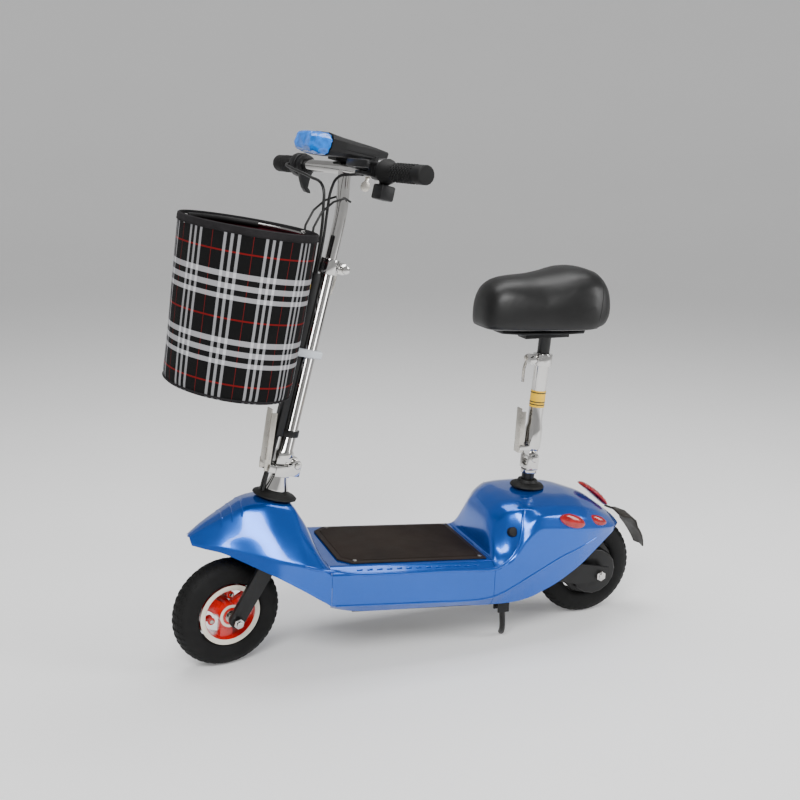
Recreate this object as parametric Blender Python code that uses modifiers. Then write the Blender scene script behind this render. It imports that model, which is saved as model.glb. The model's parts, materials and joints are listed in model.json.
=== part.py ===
"""Folding seated electric kick scooter, built as separate jointed parts.

Metres, +X forward, +Y to the rider's left, +Z up, both wheels standing on Z = 0.
Positions along the scooter are measured from the rear axle.
"""

import math

import bmesh
import bpy
from mathutils import Matrix, Vector

# Driving dimensions
REAR_AXLE_X = -0.3430
WHEEL_RADIUS = 0.100
TYRE_RADIUS = 0.0255
RIM_RADIUS = 0.054
STEER_X, STEER_Z = 0.632, 0.300
RAKE = math.radians(14.0)
STEER_TURN = math.radians(12.0)
FORK_OFFSET, FORK_DROP = 0.041, -0.2161
FORK_HALF_WIDTH = 0.047
STEM_RADIUS, STEM_BORE, STEM_TOP = 0.0140, 0.0118, 0.430
RISER_RADIUS = 0.0110
FOLD_X, FOLD_Z = -0.022, 0.066
BAR_X, BAR_Z, BAR_HALF = 0.0128, 0.588, 0.2485
BAR_TILT = math.radians(2.4)
GRIP_RADIUS = 0.0155
SEAT_X, SEAT_Z = 0.1335, 0.250
SEAT_LEAN = math.radians(5.0)
SEAT_FOLD_Z = 0.083
SEAT_TUBE_RADIUS, SEAT_POST_RADIUS = 0.0142, 0.0118
DECK_REAR_X, DECK_REAR_Z, DECK_SLOPE = 0.256, 0.175, 0.0816
KICKSTAND_PIVOT = (0.216, 0.083, 0.0700)
BRAKE_PIVOT = (0.028, 0.109, 0.0)
STEM_LATCH = (0.0270, 0, 0.0560)
SEAT_LATCH = (0.0262, 0, 0.0985)
MOTOR_X, MOTOR_Z, MOTOR_RADIUS = 0.199, 0.204, 0.034
SPROCKET_RADIUS, PINION_RADIUS, CHAIN_Y = 0.0495, 0.0145, -0.0433
SHELL = 0.0025
GAP = 0.0003
BASKET_X, BASKET_Z, BASKET_TILT = 0.1525, 0.3246, 0.095
BASKET_HALF_LENGTH, BASKET_HALF_WIDTH, BASKET_HEIGHT, BASKET_TAPER = 0.110, 0.140, 0.277, 0.932
FINE, ROUND, COARSE = 28, 16, 10
CREASE = math.radians(38.0)

# Colours: red, green, blue, roughness, metallic
BLUE = (0.012, 0.13, 0.52, 0.25, 0.0)
CHROME = (0.80, 0.80, 0.80, 0.10, 1.0)
STEEL = (0.55, 0.55, 0.56, 0.35, 1.0)
BLACK_PAINT = (0.015, 0.015, 0.016, 0.45, 0.0)
BLACK_PLASTIC = (0.02, 0.02, 0.022, 0.55, 0.0)
RUBBER = (0.022, 0.021, 0.020, 0.80, 0.0)
MAT_BROWN = (0.030, 0.022, 0.017, 0.85, 0.0)
VINYL = (0.012, 0.012, 0.013, 0.42, 0.0)
RED_PAINT = (0.70, 0.015, 0.01, 0.35, 0.0)
RED_LENS = (0.45, 0.005, 0.01, 0.15, 0.0)
BLUE_LENS = (0.02, 0.35, 0.85, 0.10, 0.0)
TARTAN = (0.05, 0.045, 0.05, 0.90, 0.0)
WHITE = (0.75, 0.76, 0.78, 0.50, 0.0)
BATTERY = (0.05, 0.10, 0.20, 0.50, 0.0)

materials = {}


def clear_scene():
    for thing in list(bpy.data.objects):
        bpy.data.objects.remove(thing)


def make_collection(name, hidden):
    made = bpy.data.collections.new(name)
    made.hide_render = hidden
    bpy.context.scene.collection.children.link(made)
    return made


def material(colour):
    if colour not in materials:
        made = bpy.data.materials.new(f"finish_{len(materials):02d}")
        made.use_nodes = True
        shader = made.node_tree.nodes["Principled BSDF"]
        shader.inputs["Base Color"].default_value = (*colour[:3], 1.0)
        shader.inputs["Roughness"].default_value = colour[3]
        shader.inputs["Metallic"].default_value = colour[4]
        materials[colour] = made
    return materials[colour]


def frame(name, parent, location, turn=Matrix()):
    """An empty that the pieces around it are measured from."""
    made = bpy.data.objects.new(name, None)
    parts.objects.link(made)
    made.parent = parent
    made.matrix_local = Matrix.Translation(location) @ turn
    return made


def place(made, parent, location=(0, 0, 0), turn=Matrix()):
    made.parent = parent
    made.matrix_local = Matrix.Translation(location) @ turn
    return made


def finish(name, mesh, colour, parent, location=(0, 0, 0), turn=Matrix()):
    mesh.shade_smooth()
    mesh.set_sharp_from_angle(angle=CREASE)
    made = bpy.data.objects.new(name, mesh)
    parts.objects.link(made)
    mesh.materials.append(material(colour))
    return place(made, parent, location, turn)


def mesh_of(name, build):
    """A mesh that one bmesh function fills."""
    mesh = bpy.data.meshes.new(name)
    bm = bmesh.new()
    build(bm)
    bm.to_mesh(mesh)
    bm.free()
    return mesh


def block(name, size, colour, parent, centre, turn=Matrix(), round_by=0.0):
    mesh = mesh_of(name, lambda bm: bmesh.ops.create_cube(bm, size=1.0, matrix=Matrix.Diagonal((*size, 1.0))))
    made = finish(name, mesh, colour, parent, centre, turn)
    if round_by:
        bevel = made.modifiers.new("edges", "BEVEL")
        bevel.width = round_by
        bevel.segments = 2
    return made


def rod(name, radius, length, colour, parent, centre, turn=Matrix(), steps=COARSE, tip=None):
    """A cylinder or cone along its own Z."""
    tip = radius if tip is None else tip

    def build(bm):
        bmesh.ops.create_cone(bm, cap_ends=True, segments=steps, radius1=radius, radius2=tip, depth=length)

    return finish(name, mesh_of(name, build), colour, parent, centre, turn)


def turned(name, profile, colour, parent, location=(0, 0, 0), turn=Matrix(), steps=ROUND):
    """A closed or axis-to-axis (radius, height) profile turned about its own Z."""
    around = list(zip(profile, profile[1:] + profile[:1]))
    if sum(a[0] * b[1] - b[0] * a[1] for a, b in around) > 0:
        profile = profile[::-1]

    def build(bm):
        corners = [bm.verts.new((radius, 0.0, height)) for radius, height in profile]
        for first, second in zip(corners, corners[1:] + corners[:1]):
            if first.co.x > 0 or second.co.x > 0:
                bm.edges.new((first, second))

    made = finish(name, mesh_of(name, build), colour, parent, location, turn)
    screw = made.modifiers.new("turn", "SCREW")
    screw.steps = screw.render_steps = steps
    screw.use_merge_vertices = True
    screw.merge_threshold = 0.00001
    return made


def wire(name, points, radius, colour, parent, sides=2, closed=False, smooth=1):
    """A round rod along a route, as a welded mesh."""
    curve = bpy.data.curves.new(name, "CURVE")
    curve.dimensions = "3D"
    curve.bevel_depth = radius
    curve.bevel_resolution = sides
    curve.use_fill_caps = not closed
    route = smooth_route(points, smooth, closed)
    spline = curve.splines.new("POLY")
    spline.points.add(len(route) - 1)
    for point, place_at in zip(spline.points, route):
        point.co = (*place_at, 1.0)
    spline.use_cyclic_u = closed
    drawn = bpy.data.objects.new(name + "_route", curve)
    parts.objects.link(drawn)
    bpy.context.view_layer.update()
    mesh = bpy.data.meshes.new_from_object(drawn.evaluated_get(bpy.context.evaluated_depsgraph_get()))
    bpy.data.objects.remove(drawn)
    bm = bmesh.new()
    bm.from_mesh(mesh)
    bmesh.ops.remove_doubles(bm, verts=bm.verts, dist=0.00002)
    bmesh.ops.recalc_face_normals(bm, faces=bm.faces)
    bm.to_mesh(mesh)
    bm.free()
    mesh.name = name
    return finish(name, mesh, colour, parent)


def smooth_route(points, steps, closed):
    """Points read from a smooth curve through the route's own points."""
    points = [Vector(p) for p in points]
    if steps == 1:
        return points
    count = len(points)
    route = []
    for i in range(count if closed else count - 1):
        if closed:
            a, b, c, d = (points[(i + k) % count] for k in (-1, 0, 1, 2))
        else:
            a, b, c, d = (points[min(max(i + k, 0), count - 1)] for k in (-1, 0, 1, 2))
        for step in range(steps):
            t = step / steps
            route.append(0.5 * (2 * b + (c - a) * t + (2 * a - 5 * b + 4 * c - d) * t**2
                                + (3 * b - a - 3 * c + d) * t**3))
    if not closed:
        route.append(points[-1])
    return route


def plate(name, outline, thickness, colour, parent, location=(0, 0, 0), turn=Matrix()):
    """A flat piece from its outline, given in its own X and Y."""

    def build(bm):
        corners = [bm.verts.new((x, y, -thickness / 2)) for x, y in outline]
        face = bm.faces.new(corners)
        grown = bmesh.ops.extrude_face_region(bm, geom=[face])["geom"]
        raised = [g for g in grown if isinstance(g, bmesh.types.BMVert)]
        bmesh.ops.translate(bm, verts=raised, vec=(0, 0, thickness))
        bmesh.ops.recalc_face_normals(bm, faces=bm.faces)

    return finish(name, mesh_of(name, build), colour, parent, location, turn)


def skin(name, rows, colour, parent, thickness=SHELL, soften=1):
    """A moulded shell: half rows from the middle line outwards, mirrored, softened and thickened inwards."""

    def build(bm):
        grid = [[bm.verts.new(point) for point in row] for row in rows]
        for near, far in zip(grid, grid[1:]):
            for i in range(len(near) - 1):
                bm.faces.new((near[i], far[i], far[i + 1], near[i + 1]))
        bmesh.ops.recalc_face_normals(bm, faces=bm.faces)
        if sum(face.normal.z for face in bm.faces) < 0:
            bmesh.ops.reverse_faces(bm, faces=bm.faces)

    made = finish(name, mesh_of(name, build), colour, parent)
    mirror = made.modifiers.new("halves", "MIRROR")
    mirror.use_axis = (False, True, False)
    mirror.merge_threshold = 0.00005
    if soften:
        smooth = made.modifiers.new("form", "SUBSURF")
        smooth.levels = smooth.render_levels = soften
        smooth.boundary_smooth = "PRESERVE_CORNERS"
    wall = made.modifiers.new("wall", "SOLIDIFY")
    wall.thickness = thickness
    wall.offset = -1.0
    return made


def loft(name, rings, colour, parent, location=(0, 0, 0), turn=Matrix(), soften=0):
    """A closed body through rings of points, each ring with as many points."""

    def build(bm):
        grid = [[bm.verts.new(point) for point in ring] for ring in rings]
        for near, far in zip(grid, grid[1:]):
            for i in range(len(near)):
                j = (i + 1) % len(near)
                bm.faces.new((near[i], far[i], far[j], near[j]))
        bm.faces.new(grid[0])
        bm.faces.new(list(reversed(grid[-1])))
        bmesh.ops.recalc_face_normals(bm, faces=bm.faces)

    made = finish(name, mesh_of(name, build), colour, parent, location, turn)
    if soften:
        smooth = made.modifiers.new("form", "SUBSURF")
        smooth.levels = smooth.render_levels = soften
    return made


def oval_ring(x, half_width, low, high, count=12, power=2.6):
    """A rounded ring across the scooter at one station, between two heights."""
    ring = []
    for i in range(count):
        angle = 2 * math.pi * (i + 0.5) / count
        c, s = math.cos(angle), math.sin(angle)
        y = half_width * math.copysign(abs(c) ** (2 / power), c)
        z = (low + high) / 2 + (high - low) / 2 * math.copysign(abs(s) ** (2 / power), s)
        ring.append((x, y, z))
    return ring


def combine(made, others, operation="UNION"):
    """Joins or cuts with helper bodies, which move to the helper collection."""
    for other in others:
        boolean = made.modifiers.new(f"{operation.lower()}_{other.name}", "BOOLEAN")
        boolean.operation = operation
        boolean.object = other
        boolean.solver = "EXACT"
        parts.objects.unlink(other)
        helpers.objects.link(other)
        other.hide_render = True
        other.display_type = "WIRE"
    return made


def along_y(angle=0.0):
    return Matrix.Rotation(math.pi / 2, 4, "X") @ Matrix.Rotation(angle, 4, "Z")


def along_x():
    return Matrix.Rotation(math.pi / 2, 4, "Y")


def pitch(angle):
    return Matrix.Rotation(angle, 4, "Y")


def deck_z(x):
    return DECK_REAR_Z + (x - DECK_REAR_X) * DECK_SLOPE


# ---------------------------------------------------------------- chassis


def make_frame():
    """Twin rails under the deck, head tube, seat socket and rear dropouts, welded into one."""
    made = block("frame", (0.44, 0.018, 0.024), STEEL, root, (0.345, 0.074, 0.142), pitch(-0.075))
    pieces = [block("rail_right", (0.44, 0.018, 0.024), STEEL, root, (0.345, -0.074, 0.142), pitch(-0.075))]
    pieces.append(block("front_cross", (0.030, 0.150, 0.024), STEEL, root, (0.562, 0, 0.158)))
    pieces.append(block("neck", (0.110, 0.034, 0.021), STEEL, root, (0.601, 0, 0.1965), pitch(-0.776)))
    pieces.append(rod("head_tube", 0.0195, 0.082, STEEL, steer, (0, 0, -0.049), steps=ROUND))
    pieces.append(block("seat_cross", (0.034, 0.150, 0.018), STEEL, root, (0.145, 0, 0.115)))
    pieces.append(rod("seat_socket", 0.0175, 0.146, STEEL, seat, (0, 0, -0.059), steps=ROUND))
    for side in (1, -1):
        arm = [(0.165, 0.118), (0.165, 0.150), (0.060, 0.132), (-0.020, 0.114), (-0.022, 0.088),
               (0.050, 0.088)]
        pieces.append(plate(f"arm_{side}", arm, 0.006, STEEL, root, (0, side * 0.0685, 0), along_y()))
    combine(made, pieces)
    bores = [rod("steerer_bore", 0.0135, 0.12, STEEL, steer, (0, 0, -0.049), steps=ROUND)]
    bores.append(rod("post_bore", 0.0128, 0.20, STEEL, seat, (0, 0, -0.030), steps=ROUND))
    bores.append(rod("axle_bore", 0.0056, 0.20, STEEL, root, (0, 0, WHEEL_RADIUS), along_y()))
    combine(made, bores, "DIFFERENCE")


def make_front_cover():
    rows = [
        [(0.785, 0, 0.2475), (0.785, 0.012, 0.246), (0.785, 0.018, 0.243), (0.784, 0.022, 0.239),
         (0.783, 0.024, 0.235)],
        [(0.735, 0, 0.279), (0.735, 0.024, 0.275), (0.735, 0.042, 0.252), (0.735, 0.052, 0.238),
         (0.735, 0.057, 0.228)],
        [(0.690, 0, 0.305), (0.690, 0.032, 0.300), (0.690, 0.060, 0.258), (0.690, 0.076, 0.226),
         (0.690, 0.083, 0.207)],
        [(0.660, 0, 0.310), (0.658, 0.038, 0.304), (0.655, 0.072, 0.255), (0.655, 0.098, 0.219),
         (0.655, 0.105, 0.191)],
        [(0.607, 0, 0.298), (0.605, 0.040, 0.292), (0.605, 0.080, 0.250), (0.605, 0.115, 0.210),
         (0.605, 0.113, 0.160)],
        [(0.583, 0, 0.258), (0.583, 0.045, 0.254), (0.583, 0.088, 0.230), (0.583, 0.118, 0.204),
         (0.583, 0.116, 0.146)],
        [(0.560, 0, 0.2015), (0.560, 0.055, 0.2005), (0.560, 0.107, 0.199), (0.560, 0.121, 0.188),
         (0.560, 0.118, 0.132)],
    ]
    made = skin("front_cover", rows, BLUE, root, soften=0)
    combine(made, [rod("steerer_opening", 0.026, 0.06, BLUE, steer, (0, 0, 0.0), steps=ROUND)], "DIFFERENCE")


def make_deck_shell():
    rows = []
    for x, crease, low in ((0.5592, 0.131, 0.124), (0.516, 0.127, 0.111), (0.400, 0.116, 0.101),
                           (0.310, 0.107, 0.094), (0.2500, 0.108, 0.088)):
        top = deck_z(x)
        rows.append([(x, 0, top), (x, 0.055, top), (x, 0.107, top), (x, 0.121, top - 0.011),
                     (x, 0.118, crease), (x, 0.106, low)])
    made = skin("deck_shell", rows, BLUE, root, soften=0)
    recess = block("mat_recess", (0.284, 0.196, 0.0016), BLUE, root, (0.397, 0, deck_z(0.397)),
                   pitch(-0.0815))
    combine(made, [recess], "DIFFERENCE")


def make_rear_cover():
    stations = [
        (0.2492, [(0, 0.1744), (0.050, 0.1744), (0.088, 0.1744), (0.108, 0.1740), (0.121, 0.164),
                  (0.118, 0.107),
                  (0.106, 0.089)]),
        (0.2450, [(0, 0.180), (0.048, 0.179), (0.084, 0.176), (0.108, 0.1740), (0.121, 0.163), (0.118, 0.108),
                 (0.106, 0.088)]),
        (0.234, [(0, 0.247), (0.045, 0.244), (0.062, 0.228), (0.101, 0.178), (0.121, 0.164), (0.118, 0.112),
                 (0.106, 0.087)]),
        (0.212, [(0, 0.264), (0.048, 0.261), (0.074, 0.250), (0.105, 0.192), (0.121, 0.174), (0.118, 0.121),
                 (0.106, 0.086)]),
        (0.188, [(0, 0.271), (0.055, 0.269), (0.084, 0.260), (0.110, 0.226), (0.120, 0.208), (0.118, 0.132),
                 (0.104, 0.086)]),
        (0.160, [(0, 0.271), (0.055, 0.270), (0.088, 0.262), (0.111, 0.252), (0.118, 0.232), (0.117, 0.146),
                 (0.103, 0.090)]),
        (0.110, [(0, 0.271), (0.055, 0.269), (0.090, 0.259), (0.108, 0.246), (0.114, 0.222), (0.112, 0.165),
                 (0.102, 0.111)]),
        (0.060, [(0, 0.267), (0.050, 0.263), (0.084, 0.252), (0.101, 0.236), (0.106, 0.212), (0.104, 0.178),
                 (0.096, 0.137)]),
        (0.015, [(0, 0.253), (0.042, 0.247), (0.070, 0.235), (0.086, 0.218), (0.091, 0.204), (0.089, 0.189),
                 (0.086, 0.168)]),
        (-0.025, [(0, 0.224), (0.030, 0.220), (0.052, 0.211), (0.066, 0.203), (0.071, 0.197), (0.071, 0.193),
                  (0.070, 0.189)]),
        (-0.048, [(0, 0.207), (0.018, 0.205), (0.033, 0.201), (0.042, 0.198), (0.046, 0.196), (0.046, 0.194),
                  (0.045, 0.192)]),
    ]
    made = skin("rear_cover", [[(x, y, z) for y, z in points] for x, points in stations], BLUE, root,
                soften=0)
    combine(made, [rod("post_opening", 0.021, 0.10, BLUE, seat, (0, 0, 0.03), steps=ROUND)], "DIFFERENCE")


def make_inside():
    belly = block("belly_pan", (0.300, 0.205, 0.003), BLACK_PLASTIC, root, (0.368, 0, 0.0975), pitch(-0.085))
    combine(belly, [block(f"stand_lug_{y}", (0.022, 0.0040, 0.028), BLACK_PLASTIC, root, (0.216, y, 0.0760))
                    for y in (0.0720, 0.0915)])
    block("battery_pack", (0.260, 0.104, 0.050), BATTERY, root, (0.400, 0, 0.141), pitch(-0.0815), 0.004)
    block("controller", (0.070, 0.060, 0.028), STEEL, root, (0.222, 0.0, 0.140), Matrix(), 0.002)
    motor = turned("drive_motor", [(0, 0.030), (0.030, 0.030), (MOTOR_RADIUS, 0.026), (MOTOR_RADIUS, -0.026),
                                   (0.030, -0.030), (0, -0.030)], STEEL, root, (MOTOR_X, 0.0, MOTOR_Z),
                                   along_y())
    combine(motor, [rod("motor_shaft", 0.004, 0.019, STEEL, root, (MOTOR_X, -0.0385, MOTOR_Z), along_y())])


def make_mat():
    half, front, rear, cut = 0.0972, 0.1405, -0.1405, 0.022
    outline = [(rear, -half), (front - cut, -half), (front, -half + cut), (front, half - cut),
               (front - cut, half), (rear, half)]
    plate("deck_mat", outline, 0.0032, MAT_BROWN, root, (0.397, 0, deck_z(0.397) + 0.0013), pitch(-0.0815))


def make_lights():
    """Oval side lamps let into the rear cover, and the tail lamp on its slope."""
    spots = (("front", 0.088, 0.1085, 0.2345, 0.024, 0.30, -0.55),
             ("rear", 0.024, 0.0875, 0.2225, 0.018, 0.42, -0.45))
    for label, side in (("left", 1), ("right", -1)):
        for spot, x, y, z, size, lean, yaw in spots:
            facing = Matrix.Rotation(-side * yaw * 0.35, 4, "Z") @ Matrix.Rotation(side * lean, 4,
                                                                                   "X") @ pitch(-0.42)
            outwards = facing @ Matrix.Rotation(-side * math.pi / 2, 4, "X")
            lens = turned(f"side_light_{label}_{spot}", [(0, 0.005), (0.55, 0.0040), (0.85, 0.0022),
                                                         (1.0, 0.0),
                          (1.0, -0.007), (0, -0.007)], RED_LENS, root, (x, side * y, z),
                          outwards @ Matrix.Diagonal((size, size * 0.46, 1, 1)))
            opening = rod(f"{lens.name}_opening", 1.0, 0.030, RED_LENS, root, (x, side * y, z),
                          outwards @ Matrix.Diagonal((size + 0.0005, size * 0.46 + 0.0005, 1, 1)), ROUND)
            combine(bpy.data.objects["rear_cover"], [opening], "DIFFERENCE")
    loft("tail_light", [oval_ring(x, w, -0.003, h, 8) for x, w, h in
                        ((-0.036, 0.020, 0.004), (-0.028, 0.030, 0.010), (0.020, 0.034, 0.012),
                         (0.034, 0.022, 0.003))],
         RED_LENS, root, (-0.013, 0, 0.2445), pitch(-0.72), soften=1)


def make_rear_fender():
    """A flexible flap that follows the tyre behind the cover."""
    radius, thick, half = 0.124, 0.004, 0.036
    rings = []
    for step in range(9):
        angle = math.radians(30 + 49 * step / 8)
        reach = radius + 0.010 * step / 8 + (0.006 if step in (2, 3) else 0.0)
        width = half * (0.80 + 0.30 * math.sin(math.pi * step / 8)) - 0.012 * step / 8
        ring = []
        for r, y, drop in ((reach + thick, 0, 0), (reach + thick, width, 0.004), (reach, width, 0.004),
                           (reach, 0, 0),
                           (reach, -width, 0.004), (reach + thick, -width, 0.004)):
            ring.append((-(r - drop) * math.sin(angle), y, WHEEL_RADIUS + (r - drop) * math.cos(angle)))
        rings.append(ring)
    loft("rear_fender", rings, RUBBER, root)


def make_kickstand():
    leg = [KICKSTAND_PIVOT, (0.213, 0.081, 0.056), (0.209, 0.076, 0.030), (0.206, 0.068, 0.014),
           (0.203, 0.058, 0.0058)]
    made = wire("kickstand", leg, 0.0056, BLACK_PAINT, root, 2, smooth=2)
    combine(made, [rod("stand_eye", 0.008, 0.012, BLACK_PAINT, root, KICKSTAND_PIVOT, along_y())])


def make_charge_cap():
    spot = (0.206, 0.0985, 0.222)
    outwards = Matrix.Rotation(0.42, 4, "X") @ Matrix.Rotation(0.12, 4, "Z") @ Matrix.Rotation(-math.pi / 2,
                                                                                               4, "X")
    turned("charge_port_cap", [(0, 0.004), (0.008, 0.004), (0.0095, 0.0025), (0.0095, -0.007), (0, -0.007)],
           RUBBER, root, spot, outwards, COARSE)
    opening = rod("charge_opening", 0.0102, 0.030, RUBBER, root, spot, outwards, ROUND)
    combine(bpy.data.objects["rear_cover"], [opening], "DIFFERENCE")


# ---------------------------------------------------------------- wheels and drive


def make_tyre(name, parent, crown):
    """A pneumatic tyre about its own Z, with a flat crown that stands on the ground."""
    centre = WHEEL_RADIUS - TYRE_RADIUS
    full = TYRE_RADIUS / math.cos(math.radians(crown))
    profile = []
    for degrees in (-126, -98, -72, -crown, crown, 72, 98, 126):
        angle = math.radians(degrees)
        reach = full if abs(degrees) == crown else 1.09 * TYRE_RADIUS
        profile.append((centre + reach * math.cos(angle), -0.94 * TYRE_RADIUS * math.sin(angle)))
    return turned(name, profile, RUBBER, parent, steps=FINE)


def make_front_wheel():
    make_tyre("front_tyre", front_hub, 10)
    lip, well = RIM_RADIUS + 0.0015, 0.047
    rim = turned("front_rim", [(lip, 0.0195), (lip, 0.0170), (0.050, 0.0150), (0.050, -0.0150),
                               (lip, -0.0170),
                               (lip, -0.0195), (well, -0.0195), (well, 0.0195)], RED_PAINT, front_hub,
                               steps=FINE)
    spokes = [rod("hub", 0.0190, 0.048, RED_PAINT, front_hub, (0, 0, 0), steps=ROUND)]
    for turn in range(3):
        angle = math.radians(20 + 120 * turn)
        centre = (0.033 * math.cos(angle), 0.033 * math.sin(angle), 0)
        spokes.append(block(f"spoke_{turn}", (0.034, 0.024, 0.014), RED_PAINT, front_hub, centre,
                            Matrix.Rotation(angle, 4, "Z")))
    combine(rim, spokes)
    combine(rim, [rod("hub_bore", 0.0064, 0.08, RED_PAINT, front_hub, (0, 0, 0), steps=COARSE)], "DIFFERENCE")
    axle = rod("front_axle", 0.0060, 0.128, CHROME, front_hub, (0, 0, 0), steps=COARSE)
    combine(axle, [rod(f"front_nut_{side}", 0.0095, 0.007, CHROME, front_hub, (0, 0, side * 0.0560), steps=6)
                   for side in (1, -1)])


def make_rear_wheel():
    make_tyre("rear_tyre", rear_hub, 50)
    lip = RIM_RADIUS + 0.0015
    turned("rear_rim", [(lip, 0.0195), (lip, 0.0170), (0.050, 0.0150), (0.050, -0.0150), (lip, -0.0170),
                              (lip, -0.0195), (0.042, -0.0210), (0.040, -0.0120), (0.022, -0.0120),
                              (0.018, -0.0290),
                              (0.018, -0.0420), (0.0460, -0.0420), (0.0460, -0.0445), (0.0062, -0.0445),
                              (0.0062, 0.0420), (0.016, 0.0420), (0.018, 0.0210), (0.046, 0.0210)],
           BLACK_PAINT, rear_hub, steps=FINE)
    turned("brake_drum", [(0.0068, 0.0500), (0.044, 0.0500), (0.047, 0.0460), (0.047, 0.0235),
                          (0.0445, 0.0235),
                          (0.0445, 0.0440), (0.0068, 0.0440)], BLACK_PAINT, rear_hub, steps=ROUND)
    axle = rod("rear_axle", 0.0056 - GAP, 0.160, CHROME, rear_hub, (0, 0, 0), steps=COARSE)
    combine(axle, [rod(f"rear_nut_{side}", 0.0100, 0.0055, CHROME, rear_hub, (0, 0, side * 0.0748), steps=6)
                   for side in (1, -1)])


def make_drive():
    """Motor pinion, and the chain as one loop round it and the wheel sprocket."""
    turned("motor_sprocket", [(0.0044, 0.0030), (0.0110, 0.0030), (0.0110, -0.0030), (0.0044, -0.0030)],
           STEEL, root, (MOTOR_X, CHAIN_Y, MOTOR_Z), along_y(), COARSE)
    big, small = Vector((0, 0, WHEEL_RADIUS)), Vector((MOTOR_X, 0, MOTOR_Z))
    reach = small - big
    heading = math.atan2(reach.z, reach.x)
    spread = math.acos((SPROCKET_RADIUS - PINION_RADIUS) / reach.length)
    route = []
    for centre, radius, start, end, steps in (
            (small, PINION_RADIUS, heading - spread, heading + spread, 6),
            (big, SPROCKET_RADIUS, heading + spread, heading + 2 * math.pi - spread, 14)):
        for step in range(steps + 1):
            angle = start + (end - start) * step / steps
            route.append(centre + radius * Vector((math.cos(angle), 0, math.sin(angle))) + Vector((0,
                                                                                                   CHAIN_Y, 0)))
    wire("drive_chain", route, 0.0028, STEEL, root, 1, closed=True)


# ---------------------------------------------------------------- steering and stem


def make_fork():
    made = block("fork", (0.032, 0.112, 0.0095), BLACK_PAINT, steer, (0.002, 0, -0.1033), round_by=0.002)
    pieces = [rod("steerer", 0.0125, 0.116, BLACK_PAINT, steer, (0, 0, -0.046), steps=ROUND)]
    for side in (1, -1):
        width = 0.0150
        outline = [(-0.015, -0.099), (0.019, -0.099), (FORK_OFFSET + width, FORK_DROP + 0.003)]
        for step in range(1, 6):
            angle = -math.pi * step / 6
            outline.append((FORK_OFFSET + width * math.cos(angle),
                            FORK_DROP + 0.003 + width * math.sin(angle)))
        outline.append((FORK_OFFSET - width, FORK_DROP + 0.003))
        pieces.append(plate(f"leg_{side}", outline, 0.008, BLACK_PAINT, steer,
                            (0, side * FORK_HALF_WIDTH, 0), along_y()))
    combine(made, pieces)
    bore = rod("fork_bore", 0.0064, 0.14, BLACK_PAINT, front_hub, (0, 0, 0), steps=COARSE)
    combine(made, [bore], "DIFFERENCE")


def make_stem_base():
    turned("stem_boot", [(0.0130, 0.0040), (0.0400, 0.0040), (0.0405, 0.0065), (0.0360, 0.0095),
                         (0.0240, 0.0115),
                         (0.0215, 0.0150), (0.0130, 0.0150)], RUBBER, steer, steps=ROUND)
    base = turned("stem_hinge", [(0, 0.0155), (0.0215, 0.0155), (0.0220, 0.0185), (0.0130, 0.0460),
                                 (0, 0.0460)],
                  CHROME, steer, steps=ROUND)
    pieces = [block("hinge_seat", (0.028, 0.034, 0.020), CHROME, steer, (0.003, 0, 0.0525))]
    for side in (1, -1):
        pieces.append(block(f"hinge_lug_{side}", (0.026, 0.0050, 0.020), CHROME, steer,
                            (-0.018, side * 0.0145, 0.0560)))
        pieces.append(rod(f"hinge_round_{side}", 0.0100, 0.0050, CHROME, steer,
                          (FOLD_X, side * 0.0145, FOLD_Z), along_y()))
        pieces.append(rod(f"hinge_head_{side}", 0.0062, 0.0050, CHROME, steer,
                          (FOLD_X, side * 0.0190, FOLD_Z),
                          along_y(), 6))
        pieces.append(block(f"latch_lug_{side}", (0.016, 0.0040, 0.014), CHROME, steer,
                            (0.022, side * 0.0135, 0.0555)))
    pieces.append(rod("hinge_pin", 0.0040, 0.034, CHROME, steer, (FOLD_X, 0, FOLD_Z), along_y()))
    combine(base, pieces)


def make_stem_tube():
    made = turned("stem_tube", [(STEM_RADIUS, STEM_TOP), (STEM_RADIUS, 0.090), (0.0170, 0.086),
                                (0.0170, 0.0775),
                                (0, 0.0775), (0, 0.100), (STEM_BORE, 0.100), (STEM_BORE, STEM_TOP)],
                  CHROME, steer)
    knuckle = rod("fold_knuckle", 0.0085, 0.0225, CHROME, steer, (FOLD_X, 0, FOLD_Z), along_y())
    arm = block("fold_arm", (0.016, 0.0225, 0.011), CHROME, steer, (-0.0150, 0, 0.0735))
    foot = block("stem_foot", (0.0270, 0.0225, 0.0165), CHROME, steer, (0.0030, 0, 0.0715))
    combine(made, [arm, foot, knuckle])
    clear = rod("pin_clearance", 0.0045, 0.030, CHROME, steer, (FOLD_X, 0, FOLD_Z), along_y())
    combine(made, [clear], "DIFFERENCE")
    lever = block("stem_fold_lever", (0.0022, 0.0180, 0.098), STEEL, steer, (0.0425, 0, 0.1110), pitch(0.10))
    sides = [block(f"lever_side_{side}", (0.0110, 0.0020, 0.092), STEEL, steer,
                   (0.0375, side * 0.0092, 0.1080), pitch(0.10))
             for side in (1, -1)]
    foot = [plate(f"lever_eye_{side}", [(-0.006, -0.006), (0.010, -0.006), (0.013, 0.014), (0.004, 0.014)],
                  0.0020,
                  STEEL, steer, (0.0270, side * 0.0100, 0.0560), along_y()) for side in (1, -1)]
    combine(lever, sides + foot)


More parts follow.
